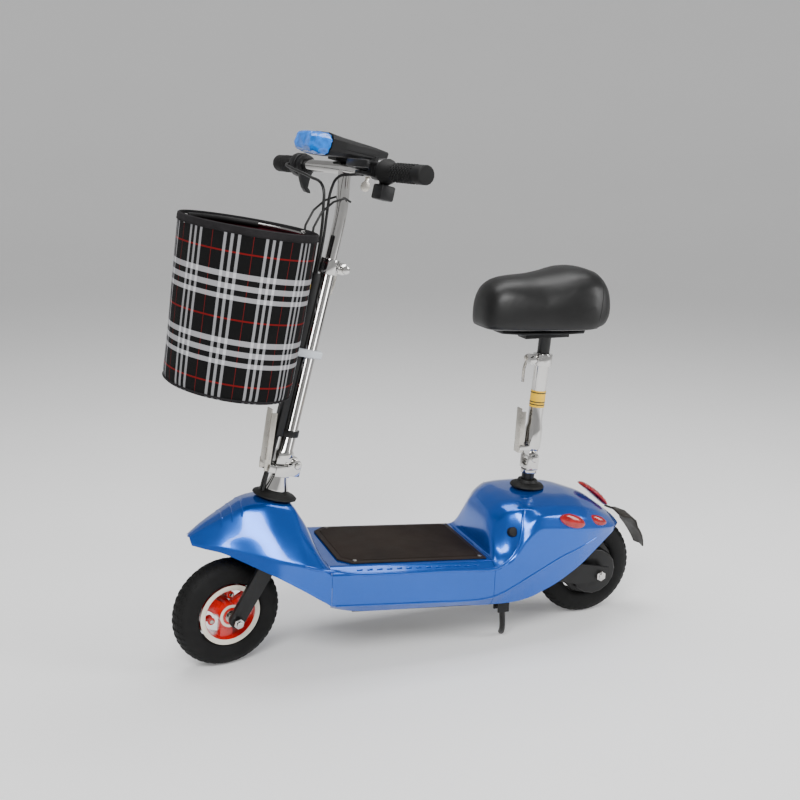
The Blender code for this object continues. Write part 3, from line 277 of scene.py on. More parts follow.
# %% Modifiers and places
def modify(piece, kind, **settings):
    """Adds one modifier with its settings and applies it."""
    only(piece)
    made = piece.modifiers.new(kind.lower(), kind)
    for key, value in settings.items():
        setattr(made, key, value)
    bpy.ops.object.modifier_apply(modifier=made.name)
    return piece


def soften(piece, width=0.0008, segments=2, angle=40):
    return modify(piece, "BEVEL", width=width, segments=segments, limit_method="ANGLE",
                  angle_limit=math.radians(angle))


def move(piece, matrix):
    only(piece)
    piece.matrix_world = matrix @ piece.matrix_world
    bpy.ops.object.transform_apply(location=True, rotation=True, scale=True)
    return piece


def joined(name, pieces):
    deselect()
    for piece in pieces:
        piece.select_set(True)
    bpy.context.view_layer.objects.active = pieces[0]
    if len(pieces) > 1:
        bpy.ops.object.join()
    return named(name)


def copied(piece, name, matrix=Matrix()):
    made = piece.copy()
    made.data = piece.data.copy()
    bpy.context.scene.collection.objects.link(made)
    made.name = made.data.name = name
    return move(made, matrix)


# %% [markdown]
# Every finished piece is shaded smooth up to an angle, gets its finish, and is given the body
# that carries it and the material slot that it takes.

# %% Settling a piece
def dressed(piece, skin, crease):
    """Shades a piece smooth up to an angle and gives it one finish."""
    only(piece)
    if crease:
        bpy.ops.object.shade_smooth_by_angle(angle=math.radians(crease))
    piece.data.materials.clear()
    piece.data.materials.append(skin)


def settle(piece, body, skin, stands_for=(), crease=38):
    """Gives a finished piece its shading, its material and the body that carries it."""
    dressed(piece, skin, crease)
    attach(piece, body)
    if stands_for:
        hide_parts(*stands_for)
    print(f"{piece.name}: {len(piece.data.polygons)} faces on {body}")
    return piece


# %% [markdown]
# A solid from the frame is loose triangles, so a copy of it is merged and cleaned before its
# edges are eased.

# %% Copies of the solids
def refined(node, name=None, width=0.0006):
    """A welded copy of a solid with its hard edges eased, so that they catch the light."""
    made = nodes[node].copy()
    made.data = nodes[node].data.copy()
    for key in list(made.keys()):
        del made[key]
    made.parent = None
    bpy.context.scene.collection.objects.link(made)
    made.name = made.data.name = name or node + "_finished"
    edited(made, (bpy.ops.mesh.remove_doubles, {"threshold": 0.00003}),
           (bpy.ops.mesh.dissolve_limited, {"angle_limit": math.radians(1.0)}))
    return soften(made, width) if width else made


# %% [markdown]
# ## Finishes
# Each finish starts from one recipe: a colour with a little drift over the surface, a
# roughness with faint smudges, and a fine grain in the bump. Numbers set how strong each is,
# so moulded plastic, powder coat, rubber and metal all come from the same few nodes.

# %% Finish recipe
def put(node, values):
    """Sets input sockets by name."""
    for socket, value in values.items():
        node.inputs[socket].default_value = value


def finish(name, colour, rough, metal=0.0, drift=0.12, drift_size=18.0, smudge=0.08, grain=0.05,
           grain_size=900.0, coat=0.0, shine=0.5):
    made = bpy.data.materials.new(name)
    made.use_nodes = True
    tree = made.node_tree
    shader = tree.nodes["Principled BSDF"]
    put(shader, {"Metallic": metal, "Specular IOR Level": shine, "Coat Weight": coat,
                 "Coat Roughness": 0.04})
    place = tree.nodes.new("ShaderNodeTexCoord")
    cloud = noise(tree, place.outputs["Object"], drift_size, 4.0)
    tint = tree.nodes.new("ShaderNodeValToRGB")
    tint.color_ramp.elements[0].position = 0.3
    tint.color_ramp.elements[1].position = 0.7
    tint.color_ramp.elements[0].color = (*[c * (1 - drift) for c in colour], 1)
    tint.color_ramp.elements[1].color = (*[min(1, c * (1 + drift)) for c in colour], 1)
    tree.links.new(cloud, tint.inputs["Fac"])
    tree.links.new(tint.outputs["Color"], shader.inputs["Base Color"])
    smear = noise(tree, place.outputs["Object"], drift_size * 3.1, 6.0)
    gloss = tree.nodes.new("ShaderNodeMapRange")
    put(gloss, {"To Min": max(0.02, rough - smudge), "To Max": min(1.0, rough + smudge)})
    tree.links.new(smear, gloss.inputs["Value"])
    tree.links.new(gloss.outputs["Result"], shader.inputs["Roughness"])
    bump = tree.nodes.new("ShaderNodeBump")
    put(bump, {"Strength": grain, "Distance": 0.0004})
    tree.links.new(noise(tree, place.outputs["Object"], grain_size, 3.0), bump.inputs["Height"])
    tree.links.new(bump.outputs["Normal"], shader.inputs["Normal"])
    return made


def noise(tree, where, size, detail):
    made = tree.nodes.new("ShaderNodeTexNoise")
    put(made, {"Scale": size, "Detail": detail})
    tree.links.new(where, made.inputs["Vector"])
    return made.outputs["Fac"]


def maths(tree, operation, first, second=None):
    made = tree.nodes.new("ShaderNodeMath")
    made.operation = operation
    for socket, value in zip(made.inputs, (first, second)):
        if value is None:
            continue
        if isinstance(value, (int, float)):
            socket.default_value = value
        else:
            tree.links.new(value, socket)
    return made.outputs["Value"]


# %% [markdown]
# The metals and moulded parts differ mostly in roughness. Chrome keeps a trace of polishing
# haze, zinc-plated steel is duller and warmer, and powder coat has a visible orange peel.

# %% Metals, plastics and rubbers
chrome = finish("bright_chrome", (0.60, 0.59, 0.575), 0.06, 1.0, 0.05, 30, 0.05, 0.02, 300)
zinc = finish("plated_steel", (0.50, 0.475, 0.43), 0.26, 1.0, 0.10, 40, 0.08, 0.08, 700)
raw_steel = finish("brushed_steel", (0.42, 0.42, 0.42), 0.42, 1.0, 0.12, 25, 0.10, 0.12, 500)
powder_coat = finish("black_powder_coat", (0.005, 0.005, 0.005), 0.40, 0.0, 0.2, 20, 0.08, 0.22, 650,
                     shine=0.35)
moulded_black = finish("black_moulded_plastic", (0.005, 0.005, 0.0055), 0.44, 0.0, 0.2, 22, 0.08, 0.25,
                       1400, shine=0.32)
grip_rubber = finish("grip_rubber", (0.006, 0.006, 0.006), 0.62, 0.0, 0.2, 40, 0.08, 0.3, 1600,
                     shine=0.25)
boot_rubber = finish("boot_rubber", (0.007, 0.0068, 0.0065), 0.56, 0.0, 0.2, 40, 0.1, 0.2, 900, shine=0.3)
flap_rubber = finish("flap_rubber", (0.013, 0.010, 0.007), 0.50, 0.0, 0.25, 30, 0.1, 0.2, 900, shine=0.4)
tyre_rubber = finish("tyre_rubber", (0.006, 0.006, 0.006), 0.66, 0.0, 0.25, 30, 0.1, 0.25, 1100,
                     shine=0.22)
mat_rubber = finish("deck_rubber", (0.016, 0.010, 0.007), 0.62, 0.0, 0.3, 12, 0.12, 0.4, 1300, shine=0.25)
red_enamel = finish("red_enamel", (0.62, 0.006, 0.003), 0.28, 0.0, 0.08, 25, 0.05, 0.06, 500, coat=0.6)
cream_enamel = finish("cream_enamel", (0.80, 0.75, 0.63), 0.30, 0.0, 0.06, 30, 0.05, 0.05, 500, coat=0.5)
clip_plastic = finish("clip_plastic", (0.62, 0.66, 0.70), 0.40, 0.0, 0.06, 30, 0.05, 0.08, 900)
wrap_plastic = finish("battery_wrap", (0.05, 0.11, 0.22), 0.45, 0.0, 0.1, 20, 0.06, 0.1, 300)
label_yellow = finish("label_yellow", (0.85, 0.50, 0.005), 0.42, 0.0, 0.06, 60, 0.05, 0.03, 900)
label_black = finish("label_black", (0.02, 0.02, 0.02), 0.45, 0.0, 0.1, 60, 0.05, 0.03, 900)
print("metal, plastic and rubber finishes ready")

# %% [markdown]
# The bodywork is blue plastic under clear lacquer, with metal flake. A Voronoi pattern far
# smaller than a millimetre gives each flake its own brightness, and the coat keeps the
# surface wet-looking above it.

# %% Flake paint
def flake_paint():
    made = finish("blue_flake_paint", (0.0005, 0.085, 0.46), 0.20, 0.62, 0.07, 7, 0.04, 0.02, 120,
                  coat=0.6)
    tree = made.node_tree
    shader = tree.nodes["Principled BSDF"]
    place = tree.nodes.new("ShaderNodeTexCoord")
    flakes = tree.nodes.new("ShaderNodeTexVoronoi")
    flakes.inputs["Scale"].default_value = 2600.0
    tree.links.new(place.outputs["Object"], flakes.inputs["Vector"])
    split = tree.nodes.new("ShaderNodeSeparateColor")
    tree.links.new(flakes.outputs["Color"], split.inputs["Color"])
    level = tree.nodes.new("ShaderNodeMapRange")
    put(level, {"To Min": 0.80, "To Max": 1.25})
    tree.links.new(split.outputs["Red"], level.inputs["Value"])
    mixed = tree.nodes.new("ShaderNodeVectorMath")
    mixed.operation = "SCALE"
    base = shader.inputs["Base Color"].links[0].from_socket
    tree.links.new(base, mixed.inputs[0])
    tree.links.new(level.outputs["Result"], mixed.inputs["Scale"])
    tree.links.new(mixed.outputs["Vector"], shader.inputs["Base Color"])
    return made


body_blue = flake_paint()
print("flake paint ready")

# %% [markdown]
# The saddle cover is embossed vinyl. Its grain is a field of small rounded cells, as on
# leather, so the bump comes from the distance between Voronoi cells.

# %% Saddle vinyl
def vinyl_grain():
    made = finish("saddle_vinyl", (0.004, 0.004, 0.004), 0.42, 0.0, 0.2, 14, 0.06, 0.0, 900, shine=0.42)
    tree = made.node_tree
    place = tree.nodes.new("ShaderNodeTexCoord")
    cells = tree.nodes.new("ShaderNodeTexVoronoi")
    cells.feature = "DISTANCE_TO_EDGE"
    cells.inputs["Scale"].default_value = 620.0
    tree.links.new(place.outputs["Object"], cells.inputs["Vector"])
    bump = next(n for n in tree.nodes if n.type == "BUMP")
    put(bump, {"Strength": 0.35, "Distance": 0.0003})
    tree.links.new(cells.outputs["Distance"], bump.inputs["Height"])
    return made


vinyl = vinyl_grain()
print("vinyl ready")

# %% [markdown]
# Lamp lenses are coloured clear plastic. A little transmission and a clear coat give depth,
# while the deep base colour keeps them readable against the black parts behind.

# %% Lens plastics
def lens_plastic(name, colour, glow):
    made = finish(name, colour, 0.12, 0.0, 0.35, 90, 0.05, 0.05, 220, coat=0.4)
    shader = made.node_tree.nodes["Principled BSDF"]
    put(shader, {"Transmission Weight": 0.08, "IOR": 1.5, "Emission Color": (*colour, 1),
                 "Emission Strength": glow})
    return made


red_lens = lens_plastic("red_lens", (0.36, 0.004, 0.006), 0.0)
blue_lens = lens_plastic("blue_lens", (0.001, 0.17, 0.70), 0.02)
print("lens plastics ready")


# %% [markdown]
# The basket cloth is a printed tartan: groups of three white bars both ways, brighter where
# they cross, with a thin red line between the groups. The pattern is worked out from the
# cloth's own UV map, U once round the basket and V in metres down from the rim.

# %% Tartan cloth
REPEATS_ROUND = 11
REPEAT_DOWN = 0.1035


def stripes(tree, along, centres, half):
    """1 inside a stripe and 0 outside it, for a coordinate that runs from 0 to 1 per repeat."""
    total = None
    for centre in centres:
        gap = maths(tree, "ABSOLUTE", maths(tree, "SUBTRACT", along, centre))
        inside = maths(tree, "LESS_THAN", gap, half)
        total = inside if total is None else maths(tree, "MAXIMUM", total, inside)
    return total


def tartan_cloth():
    made = finish("tartan_cloth", (0.006, 0.006, 0.006), 0.88, 0.0, 0.1, 30, 0.05, 0.3, 1500, shine=0.15)
    tree = made.node_tree
    shader = tree.nodes["Principled BSDF"]
    place = tree.nodes.new("ShaderNodeUVMap")
    split = tree.nodes.new("ShaderNodeSeparateXYZ")
    tree.links.new(place.outputs["UV"], split.inputs["Vector"])
    around = maths(tree, "FRACT", maths(tree, "MULTIPLY", split.outputs["X"], REPEATS_ROUND))
    down = maths(tree, "FRACT", maths(tree, "DIVIDE", split.outputs["Y"], REPEAT_DOWN))
    white_up = stripes(tree, around, (0.33, 0.50, 0.67), 0.036)
    white_across = stripes(tree, down, (0.63, 0.80, 0.97), 0.042)
    red_up = stripes(tree, around, (0.0,), 0.012)
    red_across = stripes(tree, down, (0.29,), 0.012)
    white = maths(tree, "ADD", maths(tree, "MULTIPLY", white_up, 0.24),
                  maths(tree, "MULTIPLY", white_across, 0.30))
    red = maths(tree, "MULTIPLY", maths(tree, "MAXIMUM", red_up, red_across), 0.15)
    thread = tree.nodes.new("ShaderNodeTexNoise")
    thread.inputs["Scale"].default_value = 900.0
    tree.links.new(place.outputs["UV"], thread.inputs["Vector"])
    lit = maths(tree, "MULTIPLY", white, maths(tree, "ADD",
                                               maths(tree, "MULTIPLY", thread.outputs["Fac"], 0.7), 0.65))
    level = maths(tree, "ADD", lit, 0.004)
    colour = tree.nodes.new("ShaderNodeCombineColor")
    tree.links.new(maths(tree, "ADD", level, red), colour.inputs["Red"])
    tree.links.new(level, colour.inputs["Green"])
    tree.links.new(maths(tree, "MULTIPLY", level, 1.04), colour.inputs["Blue"])
    tree.links.new(colour.outputs["Color"], shader.inputs["Base Color"])
    warp = maths(tree, "SINE", maths(tree, "MULTIPLY", split.outputs["X"], 2 * math.pi * 620))
    weft = maths(tree, "SINE", maths(tree, "MULTIPLY", split.outputs["Y"], 2 * math.pi / 0.0013))
    bump = next(n for n in tree.nodes if n.type == "BUMP")
    bump.inputs["Strength"].default_value = 0.4
    tree.links.new(maths(tree, "MULTIPLY", warp, weft), bump.inputs["Height"])
    return made


tartan = tartan_cloth()
lining = finish("maroon_lining", (0.055, 0.006, 0.012), 0.85, 0.0, 0.2, 30, 0.05, 0.5, 1500, shine=0.15)
webbing = finish("black_webbing", (0.014, 0.013, 0.014), 0.80, 0.0, 0.2, 60, 0.05, 0.5, 1300, shine=0.15)
print("tartan, lining and webbing ready")

# %% [markdown]
# ## Bodywork
# The three blue covers are thin mouldings with broad, slightly crowned faces and firm
# creases along the sides. A grid is laid over one half, its points are put on chosen
# cross-sections, and a mirror and a creased subdivision turn it into a smooth shell.

# %% Shell helper
def shell(name, sections, creases, body, ends=()):
    """Half cross-sections, from the middle line outwards, become one smooth mirrored shell."""
    rows, across = len(sections), len(sections[0])
    deselect()
    bpy.ops.mesh.primitive_grid_add(x_subdivisions=rows - 1, y_subdivisions=across - 1, size=1.0)
    piece = named(name)
    order = sorted(range(rows * across), key=lambda i: (round(piece.data.vertices[i].co.x, 4),
                                                        round(piece.data.vertices[i].co.y, 4)))
    flat = [point for section in sections for point in section]
    for index, point in zip(order, flat):
        piece.data.vertices[index].co = chassis @ Vector(point)
    rank = {index: (n // across, n % across) for n, index in enumerate(order)}
    weights = piece.data.attributes.new("crease_edge", "FLOAT", "EDGE")
    for edge in piece.data.edges:
        (row_a, col_a), (row_b, col_b) = rank[edge.vertices[0]], rank[edge.vertices[1]]
        if col_a == col_b:
            weights.data[edge.index].value = creases.get(col_a, 0.0)
        elif row_a == row_b and row_a in ends:
            weights.data[edge.index].value = ends[row_a]
    edited(piece, FACES_OUT)
    if sum(face.normal.z for face in piece.data.polygons) < 0:
        piece.data.flip_normals()
    modify(piece, "MIRROR", use_axis=(False, True, False), merge_threshold=0.0001)
    modify(piece, "SUBSURF", subdivision_type="SIMPLE", levels=1, render_levels=1)
    modify(piece, "SUBSURF", levels=2, render_levels=2, boundary_smooth="PRESERVE_CORNERS")
    modify(piece, "SOLIDIFY", thickness=0.0024, offset=-1.0)
    return piece


def cut(piece, cutter):
    modify(piece, "BOOLEAN", operation="DIFFERENCE", object=cutter, solver="EXACT")
    bpy.data.objects.remove(cutter)


def along(name, radius, height, place):
    return move(cylinder(name, radius, height, sides=40), place)


# %% [markdown]
# The nose rises from its tip to the steering collar and then drops steeply to the deck. A
# round hole is cut along the steering axis for the boot.

# %% Nose cover
nose_sections = [
    [(0.785, 0, 0.2475), (0.785, 0.010, 0.2462), (0.785, 0.017, 0.243), (0.784, 0.021, 0.239),
     (0.783, 0.023, 0.235)],
    [(0.762, 0, 0.264), (0.762, 0.018, 0.2615), (0.762, 0.030, 0.2475), (0.762, 0.038, 0.2385),
     (0.762, 0.041, 0.232)],
    [(0.735, 0, 0.2795), (0.735, 0.025, 0.276), (0.735, 0.043, 0.253), (0.735, 0.053, 0.238),
     (0.735, 0.057, 0.228)],
    [(0.690, 0, 0.3045), (0.690, 0.034, 0.300), (0.690, 0.062, 0.258), (0.690, 0.077, 0.226),
     (0.690, 0.083, 0.208)],
    [(0.655, 0, 0.3085), (0.653, 0.040, 0.304), (0.652, 0.074, 0.256), (0.650, 0.099, 0.219),
     (0.650, 0.105, 0.190)],
    [(0.607, 0, 0.2975), (0.605, 0.042, 0.292), (0.605, 0.082, 0.250), (0.605, 0.115, 0.209),
     (0.605, 0.113, 0.162)],
    [(0.583, 0, 0.258), (0.583, 0.045, 0.255), (0.583, 0.090, 0.230), (0.583, 0.119, 0.204),
     (0.583, 0.116, 0.147)],
    [(0.566, 0, 0.214), (0.566, 0.053, 0.212), (0.566, 0.104, 0.205), (0.566, 0.1215, 0.194),
     (0.566, 0.118, 0.136)],
    [(0.5598, 0, 0.2018), (0.5598, 0.055, 0.201), (0.5598, 0.107, 0.199), (0.5598, 0.122, 0.1885),
     (0.5598, 0.119, 0.131)],
]
nose = shell("nose_cover", nose_sections, {1: 0.35, 3: 0.75}, "chassis", {5: 0.35})
cut(nose, along("collar_hole", 0.0262, 0.07, steer))
settle(nose, "chassis", body_blue, ["front_cover"])

# %% [markdown]
# Across the top of the nose run three shallow steps. They are thin raised lips that follow
# the cover, so their points are found by dropping lines onto the finished shell.

# %% Steps on the nose
def surface_of(piece):
    return BVHTree.FromPolygons([v.co.copy() for v in piece.data.vertices],
                                [tuple(f.vertices) for f in piece.data.polygons])


def dropped(tree, start, heading, sink=0.0):
    hit, normal, _, _ = tree.ray_cast(Vector(start), Vector(heading))
    return None if hit is None else hit - normal * sink


def lip(name, tree, starts, heading, radius, sink):
    points = [dropped(tree, start, heading, sink) for start in starts]
    return tube(name, [p for p in points if p is not None], radius, 3, 8)


nose_skin = surface_of(nose)
steps = []
for number, (x, width) in enumerate(((0.727, 0.033), (0.709, 0.037), (0.692, 0.040))):
    starts = [chassis @ Vector((x + 0.006 * (y / width) ** 2, y, 0.40))
              for y in (width * k / 6 for k in range(-6, 7))]
    steps.append(lip(f"nose_step_{number}", nose_skin, starts, (0, 0, -1), 0.0022, 0.0012))
settle(joined("nose_steps", steps), "chassis", body_blue)

# %% [markdown]
# The deck is the long shallow tray under the feet. Its top edge and its lower edge both rise
# towards the nose, so each section is worked out from its place along the slope.

# %% Deck shell
DECK_TOP, DECK_SLOPE, MAT_PITCH = 0.175, 0.0816, 0.0815
deck_sections = []
for x, crease, low in ((0.5590, 0.131, 0.124), (0.545, 0.130, 0.119), (0.516, 0.127, 0.111),
                       (0.460, 0.121, 0.105), (0.400, 0.116, 0.101), (0.310, 0.107, 0.094),
                       (0.265, 0.106, 0.0885), (0.2500, 0.108, 0.088)):
    top = DECK_TOP + (x - 0.256) * DECK_SLOPE
    edge = 0.1215 + 0.0015 * math.sin((x - 0.25) * 10)
    deck_sections.append([(x, 0, top - 0.0006), (x, 0.055, top - 0.0006), (x, 0.106, top),
                          (x, edge, top - 0.011), (x, 0.119, crease + 0.004), (x, 0.1185, crease),
                          (x, 0.106, low)])
deck = shell("deck_moulding", deck_sections, {2: 0.5, 3: 0.8, 5: 0.7}, "chassis")
settle(deck, "chassis", body_blue, ["deck_shell"])

# %% [markdown]
# The tail swells up round the saddle post and narrows to a beak over the rear wheel. It needs
# the most sections, because its shoulder and its lower crease both change quickly.

# %% Tail cover
tail_sections = [
    (0.2492, [(0, 0.1744), (0.050, 0.1744), (0.088, 0.1744), (0.108, 0.1740), (0.1215, 0.164),
              (0.1185, 0.108), (0.106, 0.088)]),
    (0.2460, [(0, 0.180), (0.048, 0.179), (0.084, 0.176), (0.108, 0.1740), (0.1215, 0.1635),
              (0.1185, 0.108), (0.106, 0.088)]),
    (0.2340, [(0, 0.246), (0.045, 0.243), (0.063, 0.226), (0.102, 0.178), (0.1215, 0.166),
              (0.1185, 0.112), (0.106, 0.087)]),
    (0.2120, [(0, 0.265), (0.050, 0.262), (0.077, 0.249), (0.105, 0.194), (0.1215, 0.177), (0.118, 0.121),
              (0.106, 0.086)]),
    (0.1880, [(0, 0.272), (0.057, 0.270), (0.087, 0.260), (0.110, 0.228), (0.121, 0.209), (0.118, 0.132),
              (0.104, 0.086)]),
    (0.1600, [(0, 0.272), (0.057, 0.271), (0.090, 0.262), (0.111, 0.251), (0.119, 0.231), (0.117, 0.147),
              (0.103, 0.091)]),
    (0.1100, [(0, 0.272), (0.057, 0.270), (0.091, 0.260), (0.108, 0.246), (0.115, 0.222), (0.112, 0.166),
              (0.102, 0.111)]),
    (0.0600, [(0, 0.268), (0.052, 0.264), (0.086, 0.252), (0.101, 0.236), (0.107, 0.212), (0.104, 0.179),
              (0.096, 0.137)]),
    (0.0150, [(0, 0.254), (0.044, 0.248), (0.072, 0.236), (0.087, 0.219), (0.092, 0.205), (0.089, 0.190),
              (0.086, 0.168)]),
    (-0.025, [(0, 0.225), (0.032, 0.221), (0.054, 0.212), (0.067, 0.204), (0.072, 0.198), (0.071, 0.194),
              (0.070, 0.189)]),
    (-0.048, [(0, 0.207), (0.018, 0.205), (0.033, 0.201), (0.042, 0.198), (0.046, 0.196), (0.046, 0.194),
              (0.045, 0.192)]),
]
tail = shell("tail_cover", [[(x, y, z) for y, z in points] for x, points in tail_sections],
             {2: 0.3, 3: 0.25, 4: 0.45, 5: 0.7}, "chassis", {0: 0.6})
cut(tail, along("post_hole", 0.0212, 0.09, seat @ shift(0, 0, 0.03)))
settle(tail, "chassis", body_blue, ["rear_cover"])

# %% [markdown]
# A raised bead runs along each side of the deck and sweeps up over the saddle box, and a
# second one follows the lower edge and rises towards the rear wheel. They catch the light
# as long bright lines, so they are laid on the shells as half-sunk tubes.

# %% Side beads
def side_line(tree_list, route, side, sink):
    points = []
    for x, z in route:
        best = None
        for tree in tree_list:
            hit = dropped(tree, chassis @ Vector((x, side * 0.30, z)), (0, -side, 0), sink)
            if hit is not None and (best is None or abs(hit.y) > abs(best.y)):
                best = hit
        if best is not None:
            points.append(best)
    return points


side_skins = [surface_of(nose), surface_of(deck), surface_of(tail)]
upper_route = [(0.606, 0.2085), (0.580, 0.202), (0.550, 0.1935), (0.516, 0.1868), (0.460, 0.1812),
               (0.400, 0.1765), (0.340, 0.1718), (0.290, 0.1668), (0.258, 0.1640), (0.238, 0.1665),
               (0.222, 0.1755), (0.208, 0.190), (0.198, 0.208), (0.191, 0.228), (0.186, 0.246),
               (0.180, 0.258)]
lower_route = [(0.552, 0.1305), (0.500, 0.1255), (0.437, 0.1195), (0.360, 0.1125), (0.302, 0.1065),
               (0.262, 0.1065), (0.232, 0.1125), (0.205, 0.1240), (0.180, 0.1360), (0.141, 0.1530),
               (0.105, 0.1670), (0.077, 0.1740), (0.050, 0.1820), (0.026, 0.1880)]
beads = []
for side in (1, -1):
    beads.append(tube(f"upper_bead_{side}", side_line(side_skins, upper_route, side, 0.0011), 0.0033, 5,
                      12))
    beads.append(tube(f"lower_bead_{side}", side_line(side_skins, lower_route, side, 0.0010), 0.0026, 5,
                      12))
settle(joined("side_beads", beads), "chassis", body_blue)

# %% [markdown]
# A row of short raised dashes marks the edge of the deck. Each is dropped onto the finished
# shell, so that it stands the same height everywhere.

# %% Dashes along the deck edge
dashes = []
for side in (1, -1):
    for number in range(13):
        x = 0.285 + 0.0185 * number
        spot = dropped(side_skins[1], chassis @ Vector((x, side * 0.1135, 0.30)), (0, 0, -1), -0.0007)
        dash = block(f"dash_{side}_{number}", (0.0105, 0.0026, 0.0016), (0, 0, 0))
        move(dash, Matrix.Translation(spot) @ spun(-side * 0.55, "X") @ spun(-DECK_SLOPE, "Y"))
        dashes.append(soften(dash, 0.0006, 2))
settle(joined("deck_dashes", dashes), "chassis", body_blue)

# %% [markdown]
# The deck mat is ribbed rubber. Each rib is a long rounded bar, laid side by side across the
# mat inside a plain border, and a screw near each corner holds it down.

# %% Deck mat
mat = refined("deck_mat", "deck_mat_sheet", 0.0010)
settle(mat, "chassis", mat_rubber, ["deck_mat"])
mat_place = chassis @ shift(0.397, 0, DECK_TOP + 0.141 * DECK_SLOPE + 0.0029) @ spun(-MAT_PITCH, "Y")
ribs = []
for number in range(44):
    y = -0.0860 + 0.0040 * number
    cut_corner = max(0.0, abs(y) - 0.070)
    length = 0.262 - cut_corner
    ribs.append(block(f"mat_rib_{number}", (length, 0.0022, 0.0018), (-cut_corner / 2, y, 0.0006)))
ribs = move(soften(joined("deck_mat_ribs", ribs), 0.0004, 1), mat_place)
settle(ribs, "chassis", mat_rubber)
screws = []
for x, y in ((-0.130, 0.089), (-0.130, -0.089), (0.112, 0.089), (0.112, -0.089)):
    screws.append(soften(cylinder("mat_screw", 0.0038, 0.0022, (x, y, 0.0006), 20), 0.0007))
settle(move(joined("deck_mat_screws", screws), mat_place), "chassis", zinc)

# %% [markdown]
# Red lamps sit in the tail: two ovals on each side and a larger one on the slope behind the
# post. Their lenses are smooth domes, and a row of bars stands on the larger one.

# %% Lamps
for node in ("side_light_left_front", "side_light_left_rear", "side_light_right_front",
             "side_light_right_rear"):
    lamp = refined(node, node + "_lens", 0.0005)
    low, high = [Vector(corner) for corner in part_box(node)]
    heart = (low + high) / 2
    outward = Vector((0, 0.0022 if heart.y > 0 else -0.0022, 0))
    move(lamp, Matrix.Translation(heart + outward) @ Matrix.Diagonal((1.22, 1.0, 1.15, 1))
         @ Matrix.Translation(-heart))
    modify(lamp, "SUBSURF", levels=1, render_levels=1)
    settle(lamp, "chassis", red_lens, [node], 60)
tail_lamp = refined("tail_light", "tail_light_lens", 0.0)
modify(tail_lamp, "SUBSURF", levels=2, render_levels=2)
settle(tail_lamp, "chassis", red_lens, ["tail_light"], 60)
tail_skin = surface_of(tail_lamp)
bars = []
for number in range(7):
    x = -0.037 + 0.0085 * number
    starts = [chassis @ Vector((x + 0.004 * abs(y) / 0.026, y, 0.40))
              for y in (0.026 * k / 4 for k in range(-4, 5))]
    bars.append(lip(f"lamp_bar_{number}", tail_skin, starts, (0, 0, -1), 0.0011, 0.0004))
settle(joined("tail_light_bars", bars), "chassis", red_lens)

# %% [markdown]
# ## Wheels
# The tyre is a small pneumatic one. Its smooth carcass is spun from a profile, and a small
# tread block is modelled once and copied round it in three rows on each side.

# %% Tyres
SECTION_CENTRE, BLOCKS_ROUND = 0.0745, 44


def carcass(name, matrix):
    around = []
    for degrees in range(-124, 125, 8):
        angle = math.radians(degrees)
        bulge = 1.0 if abs(degrees) > 30 else 1.0 - 0.03 * (1 - abs(degrees) / 30)
        around.append((SECTION_CENTRE + 0.0248 * bulge * math.cos(angle), -0.0243 * math.sin(angle)))
    return move(turned(name, around + [(0.0585, -0.0175), (0.0585, 0.0175)], 72, True), matrix)


def tread(name, matrix):
    lugs = []
    for number in range(BLOCKS_ROUND):
        turn = 2 * math.pi * number / BLOCKS_ROUND
        for side in (1, -1):
            for step, (degrees, size) in enumerate(((8, 0.0058), (24, 0.0066), (41, 0.0070))):
                angle = math.radians(degrees)
                out = spun(turn + math.radians(1.6 * step * step / 2), "Z")
                spot = shift(SECTION_CENTRE + 0.0246 * math.cos(angle), 0,
                             side * 0.0241 * math.sin(angle))
                lean = spun(-side * angle, "Y") @ spun(side * 0.5, "X")
                lugs.append((out @ spot @ lean, size))
    pattern = block("tread_lug", (0.0018, 0.0058, 1.0))
    made = []
    for number, (place, size) in enumerate(lugs):
        made.append(copied(pattern, f"lug_{number}", place @ Matrix.Diagonal((1, 1, size, 1))))
    bpy.data.objects.remove(pattern)
    return move(soften(joined(name, made), 0.0003, 1, 60), matrix)


for which, hub in (("front", front_hub), ("rear", rear_hub)):
    settle(carcass(f"{which}_tyre_carcass", hub), f"{which}_wheel", tyre_rubber,
           [f"{which}_tyre"])
    settle(tread(f"{which}_tyre_tread", hub), f"{which}_wheel", tyre_rubber)

# %% [markdown]
# The front rim is red with three broad spokes, and cream rings mark its rim and hub. The rear
# wheel is a plain black disc beside the chain, with a drum brake on the other side.

# %% Front rim
rim = refined("front_rim", "front_rim_painted", 0.0010)
settle(rim, "front_wheel", red_enamel, ["front_rim"])
rings = []
for side in (1, -1):
    edge = [(0.0558, side * 0.0188), (0.0565, side * 0.0206), (0.0545, side * 0.0214),
            (0.0480, side * 0.0204), (0.0470, side * 0.0190)]
    rings.append(move(turned(f"rim_ring_{side}", edge, 64, True), front_hub))
    hub_edge = [(0.0205, side * 0.0222), (0.0212, side * 0.0240), (0.0196, side * 0.0250),
                (0.0165, side * 0.0250), (0.0160, side * 0.0232)]
    rings.append(move(turned(f"hub_ring_{side}", hub_edge, 48, True), front_hub))
settle(joined("front_rim_rings", rings), "front_wheel", cream_enamel)

BOLT_CIRCLE = 0.0330


def bolt_ring(name, radius, height, out, sides, ease):
    """Three of one piece on each side of the rim, on the bolt circle."""
    made = []
    for side in (1, -1):
        for number in range(3):
            angle = math.radians(20 + 120 * number)
            where = (BOLT_CIRCLE * math.cos(angle), BOLT_CIRCLE * math.sin(angle), side * out)
            made.append(soften(cylinder(name, radius, height, where, sides), ease))
    return made


